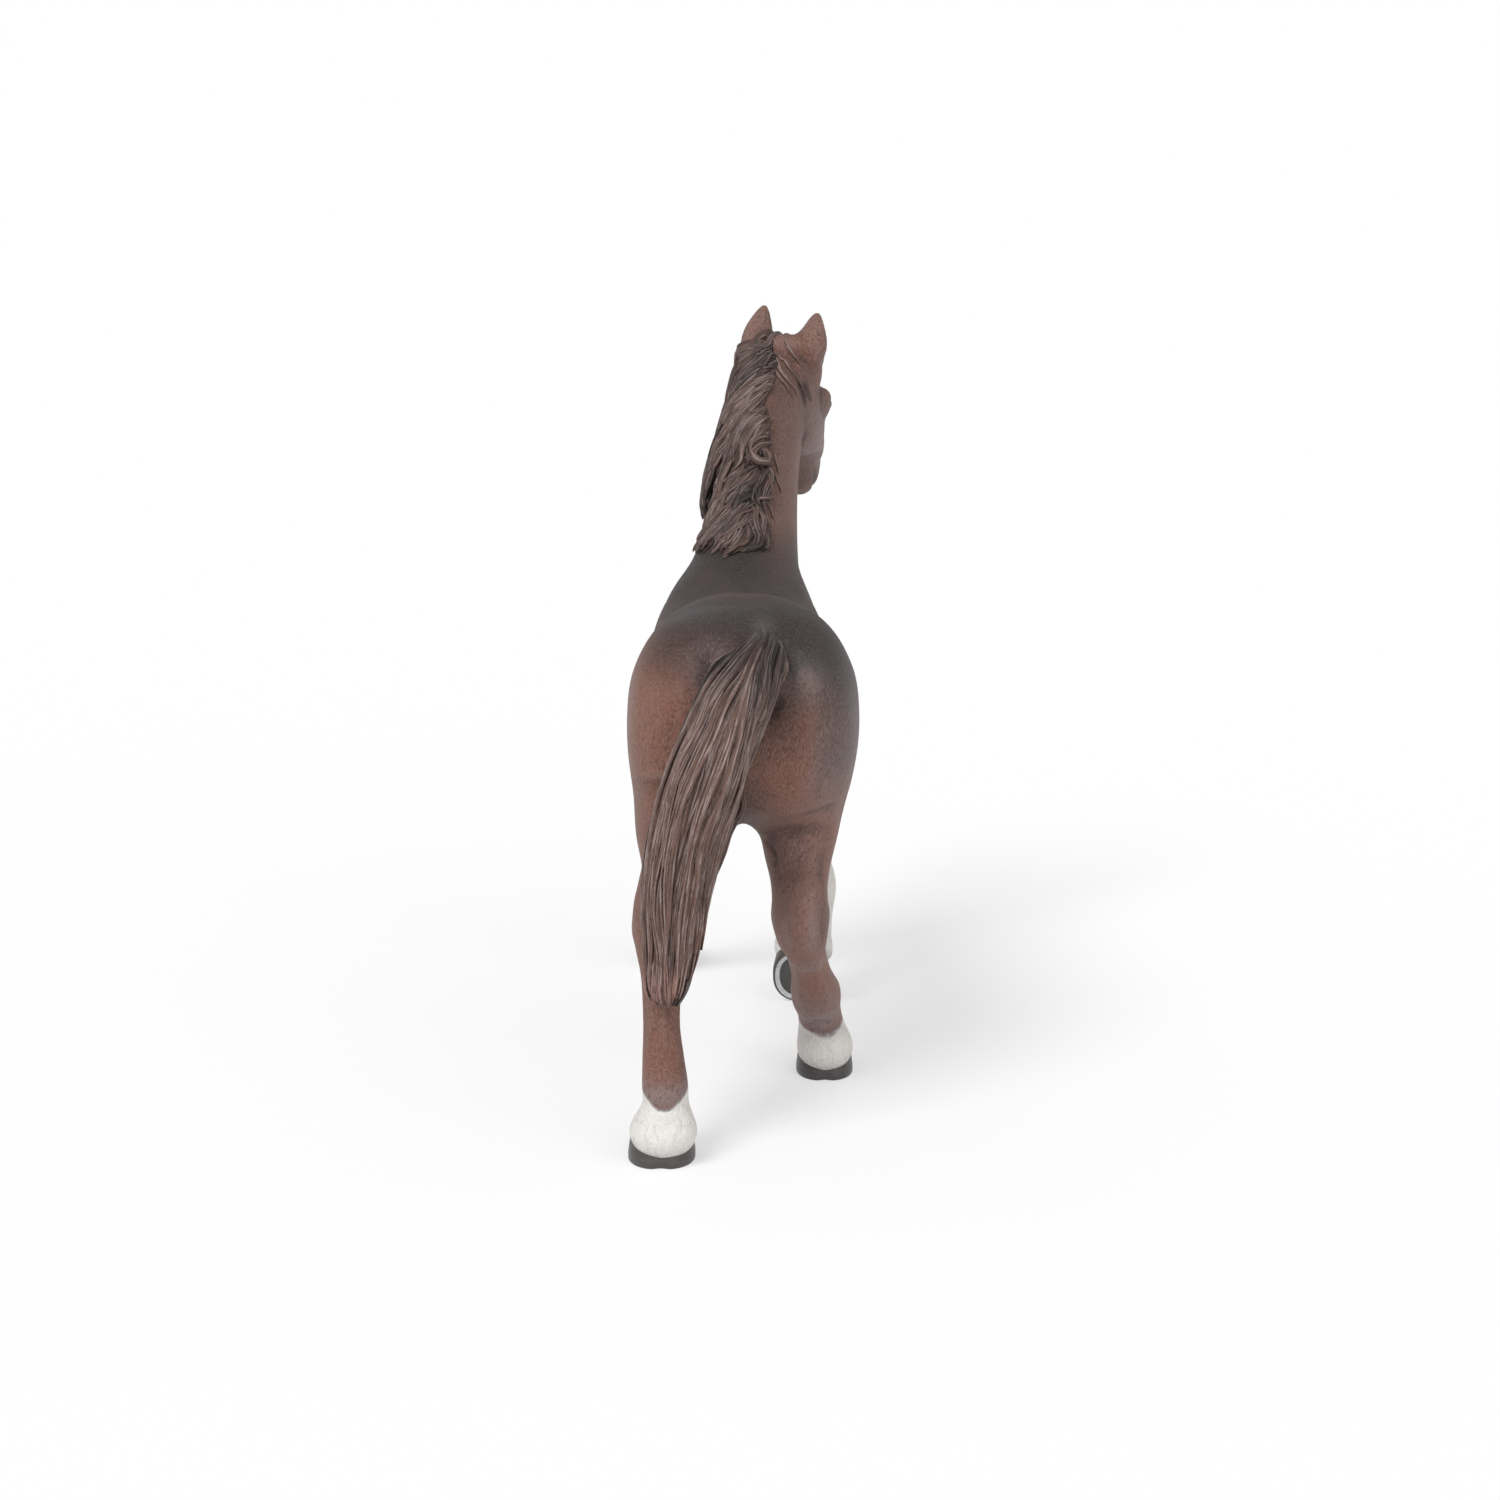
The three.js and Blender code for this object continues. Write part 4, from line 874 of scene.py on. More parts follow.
def mesh_piece(name, points, faces, materials, nodes=(), values=None, uv=None, picks=None):
    """Puts points in millimetres, and faces of one or two sizes, into a mesh that rides on the figure."""
    mesh = bpy.data.meshes.new(name)
    sizes = np.concatenate([np.full(len(f), f.shape[1]) for f in faces])
    corners = np.concatenate([f.ravel() for f in faces])
    mesh.vertices.add(len(points))
    mesh.vertices.foreach_set("co", in_metres(points))
    mesh.loops.add(len(corners))
    mesh.loops.foreach_set("vertex_index", corners.astype(np.int32))
    mesh.polygons.add(len(sizes))
    mesh.polygons.foreach_set("loop_start", np.concatenate([[0], np.cumsum(sizes)[:-1]]).astype(np.int32))
    mesh.polygons.foreach_set("loop_total", sizes.astype(np.int32))
    if picks is not None:
        mesh.polygons.foreach_set("material_index", picks.astype(np.int32))
    mesh.update(calc_edges=True)
    mesh.polygons.foreach_set("use_smooth", np.ones(len(sizes), bool))
    give_values(mesh, values or {})
    if uv is not None:
        mesh.uv_layers.new(name="along").data.foreach_set("uv", uv[corners].astype(np.float32).ravel())
    for material in materials:
        mesh.materials.append(material)
    piece = bpy.data.objects.new(name, mesh)
    bpy.context.scene.collection.objects.link(piece)
    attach(piece, "root")
    if nodes:
        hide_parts(*nodes)


def smooth_step(value, low, high):
    """0 below low, 1 above high, and t²(3 - 2t) between."""
    t = np.clip((value - low) / (high - low), 0, 1)
    return t * t * (3 - 2 * t)


# Patches: middle, radii and strength, of the airbrushed dark brown mixed with painted shade, and of the bluish painted
# sheen
dark_and_shade_patches = [
    # Haunches and the croup, airbrushed, with painted shade under the tail, between the thighs and down the right
    # haunch's side
    ((9.8, 6.0, 75.0), (6.0, 6.0, 4.0), 0.7), ((3.4, 3.4, 65.0), (3.4, 4.0, 4.5), 1.0),
    ((0, 8, 54), (3.6, 9, 7), 0.9), ((15.5, 9.0, 66), (4.0, 9, 12), 0.42), ((6.5, 4.5, 76), (3, 4, 3), 0.5),
    ((-4, 12, 80), (8, 8, 3.5), 0.6), ((5, 14, 80), (7, 8, 3.5), 0.5), ((-11.0, 7, 74.5), (5, 6, 4), 0.35),
    # Forehead, and painted shade on the right hock and gaskin
    ((12, 120, 90), (8, 7, 6), 0.45), ((8.2, 9.5, 38), (1.4, 3, 6), 0.15),
    ((12.7, 12, 31), (1.5, 5, 5), 0.45), ((6.2, 10, 42), (1.5, 5, 8), 0.25),
    # Withers and the left shoulder, airbrushed, and painted shade in the groove behind the right ear
    ((-14, 72, 76), (9, 14, 8), 0.6), ((-7, 66, 86), (7, 7, 5), 0.7), ((-4, 68, 87), (6, 6, 3.5), 0.6),
    ((-3, 60, 81), (9, 9, 4), 0.8), ((10.6, 94.4, 107.4), (1.1, 2.0, 2.2), 0.7),
    # Nostrils and lips
    (on_head(0.62, -0.14, 0.90), (1.1, 1.1, 1.1), 0.9), (on_head(-0.62, -0.14, 0.90), (1.1, 1.1, 1.1), 0.9),
    (on_head(0, -0.30, 0.97), (6, 5, 5), 0.5),
]
# Painted shade in a line down the right of the crest, beside the mane
dark_and_shade_patches += [(section_at(neck_rows, place, math.pi / 2 - 0.28), (2.2, 3.0, 3.0), 0.25)
                 for place in np.linspace(1.2, 6.0, 11)]
# Painted sheen and highlights: pale bluish patches where the coat catches light from its white surroundings.
sheen_patches = [
    # Painted sheen on the haunches, croup and cheek
    ((-4.8, 4.4, 72.4), (3.4, 4.5, 4.2), 0.40), ((12.6, 2.0, 56), (2.6, 4.5, 8), 0.22),
    ((9.0, 9, 43), (5.0, 7, 7), 0.20), ((3.0, 8.6, 78.2), (1.6, 3.0, 1.6), 0.20),
    ((8.6, 2.8, 71.2), (4.0, 3.6, 4.2), 0.30), ((13.2, 104, 98), (2.4, 8, 7), 0.50),
    ((-9, 13, 79.5), (7, 3.5, 2.5), 0.16),
    # Painted sheen on the hocks and fetlocks
    ((10.6, 16.0, 22.6), (4.0, 3.0, 1.3), 0.36), ((12.4, 25.5, 10.2), (5.5, 4.5, 2.4), 0.72),
    ((11.8, 23.0, 14.5), (5.0, 5, 4.5), 0.22), ((-11.5, -13, 11), (6, 7, 2.2), 0.5),
    # Painted sheen on the edges of the thighs and the neck, and painted highlights on the ridges of the right hock
    ((16.8, 10, 62), (2.6, 8, 12), 0.34), ((11.0, 7.2, 30), (0.9, 4, 6), 0.3), ((6.9, 9.0, 30), (0.8, 4, 5), 0.3),
    ((-17.5, 12, 66), (1.6, 8, 10), 0.22), ((10.4, 101, 100), (1.0, 4, 8), 0.3),
]
# How high each foot's white ends, at the back and at the sides, and how far from the leg's line it reaches
sock_reach = 9.5
sock_heights = {"left_hindleg": (9.0, 11.6), "right_hindleg": (7.0, 9.2), "left_foreleg": (21.0, 22.0),
                "right_foreleg": (27.5, 28.5)}


def patched(points, patches):
    """Soft patches over each other: 1 - the product of (1 - strength exp(-|p/r|²))."""
    clear = np.ones(len(points))
    for centre, radii, amount in patches:
        clear *= 1 - amount * np.exp(-(((points - np.array(centre)) / np.array(radii)) ** 2).sum(1))
    return 1 - clear


def coat_values(points, normals):
    """At each point: the airbrushed dark along the back together with painted shade under the tail, between the thighs
    and beside the mane, the white at the feet, a bluish painted sheen, and how red the brown is."""
    x, y, z = points.T
    back = (smooth_step(normals[:, 2], -0.1, 0.75) * smooth_step(z, 64, 76) * (1 - smooth_step(z, 76, 87))
            * smooth_step(y, 10, 34) * (1 - smooth_step(y, 76, 90)) * 0.85)
    croup = smooth_step(z - 72.0 + 0.20 * x, -7, 6) * (1 - smooth_step(y, 18, 40)) * 0.78
    flank = (smooth_step(y, 16, 30) * smooth_step(z, 56, 72) * (1 - smooth_step(z, 79, 87))
             * (1 - smooth_step(y, 80, 92)) * 0.75)
    shoulder = (smooth_step(y, 56, 64) * (1 - smooth_step(z + 1.5 * x + 0.10 * (y - 56), 82, 94))
                * smooth_step(z, 64, 76) * 0.85)
    # Painted shade on the neck's left side beneath the mane.
    crest = (smooth_step(y, 70, 76) * smooth_step(-normals[:, 0], -0.35, 0.35) * smooth_step(111 - z, -3, 3)
             * smooth_step(z - 0.55 * y, 30, 42) * 0.75)
    dark = np.max([back, croup, flank, shoulder, crest], 0)
    dark = 1 - (1 - dark) * (1 - patched(points, dark_and_shade_patches))
    # Redder on the left haunch and below, duller on the neck and the outer right thigh
    neck_tone = 0.46 + 0.1 * smooth_step(z, 100, 116)
    trunk_tone = 0.62 + 0.38 * smooth_step(-x, -3, 10) - 0.45 * smooth_step(x, 9, 15)
    leg_tone = 0.72 + 0.28 * smooth_step(x, 0, 4)
    upper_tone = np.where(y > 70, neck_tone, trunk_tone)
    tone = upper_tone + (leg_tone - upper_tone) * smooth_step(-z, -62, -46)
    sock = np.zeros(len(x))
    for name, (rear, flank_height) in sock_heights.items():
        foot = leg_rows(name)[-6:, :3]
        near = np.linalg.norm(points[:, None, :2] - foot[None, :, :2], axis=2).min(1) < sock_reach
        height = flank_height + (rear - flank_height) * np.clip(-normals[:, 1], 0, 1) ** 1.5
        sock = np.maximum(sock, np.where(near, smooth_step(height - z, -1.3, 1.3), 0))
    return {"dark": dark, "sock": sock, "tone": tone, "painted_sheen": patched(points, sheen_patches)}


def largest_shell(count, edges):
    """Marks the points of the largest shell: both ends of every edge take the smaller label until nothing changes."""
    label = np.arange(count)
    while True:
        ends = label[edges]
        new = label.copy()
        np.minimum.at(new, ends.max(1), ends.min(1))
        new = new[new]
        if np.array_equal(new, label):
            return label == np.bincount(label).argmax()
        label = new


# How far the relief's painted highlight and shade are judged over, in millimetres, and an offset taken off how far each
# point stands out.
relief_shade_reach, relief_shade_least = 1.1, 0.07


def mould(name):
    """One moulding of the body: the blended skin in its box, cut at its seams and closed there."""
    low, high, step = boxes[name]
    space = Space(low, high, step)
    shape_body(space)
    points, quads = space.skin()
    mesh = bpy.data.meshes.new("cut")
    mesh.from_pydata(points.tolist(), [], quads.tolist())
    work = bmesh.new()
    work.from_mesh(mesh)
    caps = []
    for point, outward in seams[name]:
        everything = work.verts[:] + work.edges[:] + work.faces[:]
        bmesh.ops.bisect_plane(work, geom=everything, plane_co=point, plane_no=outward, clear_inner=True, dist=1e-5)
        rim = [e for e in work.edges if e.is_boundary]
        if rim:
            filled = bmesh.ops.holes_fill(work, edges=rim, sides=0)["faces"]
            caps += [(f, -np.array(outward, float)) for f in filled]
    # Only the skin that is joined to the largest shell stays.
    work.verts.index_update()
    work.verts.ensure_lookup_table()
    edges = np.array([[v.index for v in e.verts] for e in work.edges])
    loose = np.nonzero(~largest_shell(len(work.verts), edges))[0]
    bmesh.ops.delete(work, geom=[work.verts[k] for k in loose], context="VERTS")
    work.faces.index_update()
    caps = {f.index: normal for f, normal in caps if f.is_valid}
    work.to_mesh(mesh)
    work.free()
    points = np.empty(len(mesh.vertices) * 3, np.float32)
    mesh.vertices.foreach_get("co", points)
    points = points.reshape(-1, 3).astype(float)
    normals = unit(space.slope(points, 1.0))
    # How far each point stands out of the skin as it is when evened out over about a millimetre: what stands out is
    # painted pale, as dry-brushing and painted highlight, and what sinks in is painted dark as shade, less so at the
    # feet and on top of the croup.
    blurred = Space(low, high, step)
    blurred.field = space.field.copy()
    blurred.soften(round((relief_shade_reach / space.step) ** 2 * 2))
    strength = 0.35 + 1.85 * smooth_step(points[:, 2], 12, 26)
    strength *= 1 - 0.8 * smooth_step(points[:, 2], 74, 77) * (1 - smooth_step(points[:, 1], 25, 40))
    standing_out = blurred.at(points) - space.at(points) - relief_shade_least
    values = coat_values(points, normals)
    values["drybrush_and_crease_shade"] = np.clip(0.5 + standing_out * strength, 0, 1)
    give_values(mesh, values)
    mesh.vertices.foreach_set("co", in_metres(points))
    mesh.update()
    mesh.polygons.foreach_set("use_smooth", np.ones(len(mesh.polygons), bool))
    # The skin is shaded by the field's own slope, and the cut faces as flat.
    corner = np.empty(len(mesh.loops), np.int32)
    mesh.loops.foreach_get("vertex_index", corner)
    facing = normals[corner]
    for index, normal in caps.items():
        face = mesh.polygons[index]
        facing[face.loop_start:face.loop_start + face.loop_total] = normal
    mesh.normals_split_custom_set(facing.tolist())
    mesh.materials.append(coat)
    piece = bpy.data.objects.new("moulded_" + name, mesh)
    bpy.context.scene.collection.objects.link(piece)
    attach(piece, "root")
    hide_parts(name)


for name in boxes:
    mould(name)


# ---------------------------------------------------------------- hoofs

def hoof(name):
    """Rings from the coronet down the wall, under it, over the shoe and up into the sole: each is a superellipse
    at its own height."""
    side, forward, up, fold = sole_shares[name]
    place = np.array([side * half_width, forward * body_length, up * withers])
    turn = turned(math.radians(fold), 0)
    # Shares of the hoof's height, half width, reach to the toe, to the heel and shift forward; the ring's slope
    # in radians; and 1 where the shoe starts
    rings = np.array([
        [0.93, 0.60, 0.50, 0.52, -0.08, 0.42, 0], [0.95, 0.70, 0.58, 0.62, -0.08, 0.42, 0],
        [0.90, 0.77, 0.65, 0.69, -0.075, 0.41, 0], [0.66, 0.90, 0.82, 0.83, -0.04, 0.33, 0],
        [0.36, 0.965, 0.93, 0.90, -0.015, 0.17, 0], [0.17, 1.0, 0.985, 0.945, 0.0, 0.05, 0],
        [0.15, 1.0, 0.99, 0.945, 0.0, 0.03, 0], [0.03, 1.0, 1.0, 0.945, 0.0, 0.0, 0],
        [0.0, 0.97, 0.975, 0.92, 0.0, 0.0, 0], [0.0, 0.92, 0.925, 0.87, 0.0, 0.0, 1],
        [0.0, 0.79, 0.81, 0.765, 0.0, 0.0, 1], [0.02, 0.76, 0.785, 0.74, 0.0, 0.0, 0],
        [0.075, 0.74, 0.77, 0.72, 0.0, 0.0, 0], [0.09, 0.40, 0.45, 0.40, 0.0, 0.0, 0],
        [0.08, 0.05, 0.06, 0.05, 0.0, 0.0, 0],
    ])
    around = 72
    angle = np.linspace(0, 2 * np.pi, around, endpoint=False)[None, :]
    height, wide, toe, heel, shift, slope = (rings[:, k, None] for k in range(6))
    none = np.zeros_like(height)
    centre = np.stack([none, shift * hoof_length, height * hoof_height], -1)
    across = np.array([-1.0, 0, 0])
    ahead = np.stack([none, np.cos(slope), np.sin(slope)], -1)
    narrow = 0.92 if name == "right_hindleg" else 1.0
    grid = section_point(centre, across, ahead, wide * narrow * hoof_width / 2, toe * hoof_length / 2,
                         heel * hoof_length / 2, 2.3, angle)
    # The heels part at the middle of the back.
    rear = np.clip(-np.sin(angle), 0, 1)
    notch = np.exp(-((np.cos(angle) / 0.16) ** 2)) * rear * smooth_step(height, 0.8, 0.0)
    grid = grid + ahead * (0.55 * notch)[..., None]
    grid = grid @ turn.T + place
    points, quads, caps = closed(grid)
    picks = np.concatenate([np.repeat(rings[:-1, 6], around), np.zeros(len(caps))])
    mesh_piece(name.replace("leg", "_hoof"), points, [quads, caps], [horn, silver], picks=picks)


for name in leg_shares:
    hoof(name)


def eye(hand):
    """A flattened ball set under the brow: a sphere's latitude and longitude."""
    centre = on_head(hand * 0.97, -0.12, 0.41)
    down = np.linspace(0.02, math.pi - 0.02, 18)[:, None]
    around = np.linspace(0, 2 * np.pi, 28, endpoint=False)[None]
    ball = np.stack([np.sin(down) * np.cos(around) * 1.2, np.sin(down) * np.sin(around) * 1.3,
                     np.cos(down) * 1.2 * np.ones_like(around)], -1)
    points, quads, caps = closed(ball @ head_turning.T + centre)
    mesh_piece("right_eye" if hand > 0 else "left_eye", points, [quads, caps], [eye_gloss])


for hand in (-1, 1):
    eye(hand)


# ---------------------------------------------------------------- hair

dice = np.random.default_rng(7)


class Hair:
    """Locks gathered into one piece."""

    def __init__(self):
        self.points, self.quads, self.caps, self.ridge, self.tone, self.uv, self.count = [], [], [], [], [], [], 0

    def lock(self, centre, outward, half, thick, strands, tone, around, sunk=0.4):
        """A ridged, flattened section carried along a line, with q going from 1 to -1 over its top and back below.
        Across it is half q. Up it is thick (1 - q⁴)^½ times 0.34 + half a wave of so many strands + a finer wave,
        and the underside lies sunk in what carries it."""
        along = unit(np.gradient(centre, axis=0))
        outward = unit(outward - (outward * along).sum(1, keepdims=True) * along)
        side = np.cross(along, outward)
        top = int(around * 0.72)
        below = np.linspace(0, np.pi, around - top + 2)[1:-1]
        q = np.concatenate([np.cos(np.linspace(0, np.pi, top)), -np.cos(below)])
        upper = (np.arange(around) < top).astype(float)
        length = np.concatenate([[0], np.cumsum(np.linalg.norm(np.diff(centre, axis=0), axis=1))])
        phase = dice.uniform(0, 1) + 0.3 * np.sin(length[:, None] / 7 + dice.uniform(0, 6))
        wave = 0.5 + 0.5 * np.cos(2 * np.pi * (strands * (q[None] + 0.25 * q[None] ** 2) / 2 + phase))
        fine = 0.5 + 0.5 * np.cos(2 * np.pi * (strands * 2.3 * q[None] / 2 + 1.7 * phase))
        crest = np.maximum(1 - q[None] ** 4, 0) ** 0.5
        rise = thick[:, None] * np.where(upper, crest * (0.34 + 0.50 * wave + 0.16 * fine), -sunk * crest)
        aside = half[:, None] * q[None]
        grid = centre[:, None] + side[:, None] * aside[..., None] + outward[:, None] * rise[..., None]
        points, quads, caps = closed(grid)
        self.points.append(points)
        self.quads.append(quads[:, ::-1] + self.count)
        self.caps.append(caps[:, ::-1] + self.count)
        # What the paint reads: how far each point is up its ridge, the lock's tone, and the place across and along
        ridge = np.where(upper, 0.25 + 0.5 * wave * crest + 0.25 * fine * crest, 0.0)
        self.ridge.append(np.append(ridge.ravel(), [0.3, 0.3]))
        self.tone.append(np.append(np.repeat(np.broadcast_to(tone, len(centre)), around), [0.4, 0.4]))
        u = aside + dice.uniform(0, 50)
        v = np.broadcast_to(length[:, None], u.shape)
        self.uv.append(np.concatenate([np.stack([u, v], -1).reshape(-1, 2), np.zeros((2, 2))]))
        self.count += len(points)

    def finish(self, name, node):
        mesh_piece(name, np.concatenate(self.points), [np.concatenate(self.quads), np.concatenate(self.caps)],
                   [hair], [node],
                   {"ridge": np.concatenate(self.ridge), "tone": np.concatenate(self.tone)}, np.concatenate(self.uv))


def tapered(t, start, growth, fall, least, power=1.0):
    """A lock's share of its full width: it grows from its start and is drawn to a point at its end."""
    return np.clip(start + growth * t, 0, 1) * np.clip(fall * (1 - t), least, 1) ** power


def on_skin(space, start, direction, reach):
    """Where lines from outside, coming in towards start, first meet the skin, and how the skin faces there."""
    steps = np.linspace(reach, 0, 90)
    rays = start[:, None] + direction[:, None] * steps[None, :, None]
    values = space.at(rays.reshape(-1, 3)).reshape(len(start), -1)
    k = np.clip((values < 0).argmax(1), 1, None)
    row = np.arange(len(start))
    a, b = values[row, k - 1], values[row, k]
    share = np.clip(a / np.maximum(a - b, 1e-6), 0, 1)
    depth = steps[k - 1] + share * (steps[k] - steps[k - 1])
    found = start + direction * depth[:, None]
    return found, unit(space.slope(found, 2.0))


# The skin that the mane lies on, worked out once more on a coarse grid
hair_ground = Space((-22, 58, 58), (24, 124, 128), 0.6)
shape_body(hair_ground)

# The neck's rows, carried on between the ears
crest_rows = np.concatenate([neck_rows[:, :3], [poll + np.array([0.010, 0.070, 0.030]) * neck_length]])


def on_neck(places, angles, lift):
    """Points on the skin seen from the neck's axis: places between its rows, angles from the crest to the left."""
    last = len(crest_rows) - 1
    rows, above, below = (between(crest_rows, np.clip(places + k, 0, last)) for k in (0, 0.05, -0.05))
    along = unit(above - below)
    side = unit(np.array([1.0, 0, 0]) - along * along[:, :1])
    ahead = np.cross(side, along)
    angle = np.pi / 2 + angles
    direction = side * np.cos(angle)[:, None] + ahead * np.sin(angle)[:, None]
    found, facing = on_skin(hair_ground, rows, direction, 19.0)
    return found + facing * lift[:, None], facing


# Each line of the mane: places between the neck's rows, and angles from the crest to the left, in radians. The
# last ones, from over_others on, lie over the others, and pale_lines are painted paler.
over_others, pale_lines = 29, (7, 8, 9, 13)
mane_lines = [
    [(6.7, 0.40), (6.52, 0.76), (6.25, 1.12), (5.95, 1.42), (5.6, 1.72), (5.1, 1.95)],
    [(6.75, 0.60), (6.5, 0.98), (6.2, 1.22), (5.79, 1.45), (5.2, 1.75), (4.7, 1.95)],
    [(6.75, 0.40), (6.34, 0.66), (5.8, 0.75), (5.4, 0.85), (5.05, 1.1), (4.6, 1.5), (4.1, 1.85)],
    [(6.4, 0.22), (6.0, 0.30), (5.5, 0.38), (5.1, 0.48), (4.75, 0.72), (4.4, 1.15), (3.9, 1.7)],
    [(5.8, 0.08), (5.5, 0.2), (5.13, 0.33), (4.82, 0.45), (4.55, 0.68), (4.25, 1.1), (3.8, 1.6)],
    [(5.4, 0.0), (5.2, 0.15), (4.97, 0.26), (4.73, 0.37), (4.48, 0.55), (4.25, 0.9), (3.9, 1.3), (3.5, 1.65)],
    [(5.1, -0.04), (4.93, 0.06), (4.73, 0.16), (4.5, 0.27), (4.3, 0.42), (4.1, 0.75), (3.8, 1.15), (3.3, 1.55)],
    [(4.8, -0.06), (4.53, 0.09), (4.25, 0.21), (4.03, 0.36), (3.75, 0.52), (3.5, 0.85), (3.2, 1.2), (2.8, 1.5)],
    [(4.35, 0.00), (4.10, 0.16), (3.80, 0.32), (3.48, 0.51), (3.2, 0.90), (2.65, 1.35)],
    [(4.10, -0.07), (3.88, 0.09), (3.60, 0.25), (3.28, 0.36), (2.95, 0.42), (2.6, 0.62)],
    [(3.90, -0.10), (3.77, 0.04), (3.55, 0.17), (3.20, 0.25), (2.85, 0.23), (2.6, 0.30)],
    [(3.70, -0.13), (3.63, -0.01), (3.40, 0.08), (3.15, 0.10), (2.75, 0.08)],
    [(3.50, -0.16), (3.38, -0.04), (3.15, 0.02), (2.90, -0.02), (2.70, -0.12)],
    [(3.3, 0.5), (3.0, 0.7), (2.75, 0.85), (2.5, 0.98), (2.25, 1.05)],
    [(3.7, 1.1), (3.3, 1.3), (2.9, 1.45), (2.5, 1.5), (2.3, 1.5)],
    [(2.90, 0.28), (2.60, 0.43), (2.30, 0.52), (1.98, 0.60)],
    [(2.72, 0.10), (2.48, 0.23), (2.22, 0.37), (1.90, 0.48)],
    [(2.72, -0.08), (2.50, 0.05), (2.28, 0.20), (2.03, 0.33), (1.75, 0.44)],
    [(2.48, -0.10), (2.25, 0.04), (2.00, 0.17), (1.72, 0.30)],
    [(2.05, -0.02), (1.85, 0.15), (1.60, 0.29), (1.36, 0.42), (1.10, 0.54)],
    [(1.95, -0.02), (1.70, 0.11), (1.45, 0.20), (1.20, 0.31), (0.95, 0.40)],
    [(1.85, -0.04), (1.58, 0.02), (1.28, 0.08), (1.02, 0.15), (0.80, 0.24)],
    [(2.00, -0.04), (1.72, -0.08), (1.42, -0.13), (1.10, -0.17)],
    [(1.85, 0.00), (1.53, -0.03), (1.22, -0.02), (0.92, 0.03)],
    [(2.82, -0.16), (2.58, -0.22), (2.32, -0.19), (2.08, -0.13), (1.85, -0.18)],
    [(5.0, 1.35), (4.5, 1.65), (3.9, 1.90), (3.4, 2.05)],
    [(4.3, 1.30), (3.8, 1.60), (3.2, 1.85), (2.7, 2.00)],
    [(3.6, 1.20), (3.1, 1.45), (2.75, 1.60), (2.4, 1.70)],
    [(4.0, 0.85), (3.6, 1.10), (3.2, 1.28), (2.8, 1.40), (2.5, 1.40)],
    [(3.7, 1.15), (3.4, 1.27), (3.15, 1.30), (2.85, 1.22), (2.5, 1.08), (2.2, 0.95)],
    [(2.35, 0.30), (2.0, 0.40), (1.8, 0.50), (1.6, 0.62), (1.45, 0.75)],
    [(2.05, 0.10), (1.75, 0.26), (1.45, 0.42), (1.3, 0.60), (1.25, 0.76)],
]
# The curl on the crest, single locks on the right of the crest, and those from the poll to the right ear
curl_line = [(3.34, -0.20), (3.18, -0.05), (2.98, 0.00), (2.82, -0.08), (2.86, -0.20), (3.02, -0.20),
             (3.04, -0.12)]
stray_lines = [
    [(3.20, -0.30), (2.98, -0.36), (2.75, -0.42)], [(2.68, -0.40), (2.54, -0.43), (2.40, -0.45)],
    [(2.12, -0.22), (1.95, -0.30), (1.78, -0.40)], [(1.95, -0.18), (1.80, -0.24), (1.66, -0.31)],
    [(6.46, 0.28), (5.58, -0.06), (5.3, -0.24), (5.13, -0.36), (4.98, -0.55), (4.8, -0.7)],
    [(6.63, 0.23), (6.14, -0.07), (5.73, -0.28), (5.5, -0.48), (5.35, -0.7), (5.22, -0.97)],
    [(5.73, 0.14), (5.43, -0.03), (5.13, -0.19), (4.88, -0.37), (4.73, -0.52)],
    [(6.8, 0.09), (6.63, -0.19), (6.43, -0.43), (5.88, -0.67)],
]
# Short hair between the ears, in millimetres
tuft_lines = [
    [(9.6, 98.6, 116.4), (8.6, 96.2, 115.2), (7.4, 94.0, 112.4)],
    [(8.0, 98.8, 117.2), (6.8, 96.0, 115.8), (5.4, 93.8, 113.0)],
    [(6.4, 98.9, 117.4), (5.0, 96.6, 116.4), (3.2, 94.6, 113.8)],
    [(5.0, 99.0, 117.6), (3.2, 97.2, 116.8), (1.2, 95.6, 114.4)],
]


def lock_on_neck(bundle, line, width, rise, strands, tone, lift, across, steps, part=(0.0, 1.0), slip=(0.0, 0.0)):
    """One lock along a part of a line on the neck, slipped beside it: widest before its middle, drawn to a point."""
    t = np.linspace(0, 1, steps)
    rows = between(np.array(line), (part[0] + (part[1] - part[0]) * t) * (len(line) - 1))
    spread = np.sin(np.pi * np.clip(t * 0.85 + 0.1, 0, 1))
    sway = dice.uniform(-0.05, 0.05) * np.sin(2 * np.pi * t + dice.uniform(0, 6))
    places, angles = rows[:, 0] + slip[0] * spread + sway, rows[:, 1] + slip[1] * spread + sway
    centre, facing = on_neck(places, angles, np.full(steps, lift) + 0.12 * np.sin(np.pi * t))
    facing = unit(sum(np.roll(facing, k, 0) for k in (-1, 0, 1)) + 1e-6)
    wide = (0.3 + 0.7 * np.sin(np.pi * np.clip(t * 0.72 + 0.14, 0, 1))) * tapered(t, 0.3, 5, 3.2, 0.05, 0.7)
    high = (0.3 + 0.7 * np.sin(np.pi * np.clip(t * 0.8 + 0.12, 0, 1))) * tapered(t, 1, 0, 4, 0.2, 0.6)
    bundle.lock(centre, facing, width * wide, rise * high, strands, tone, across)


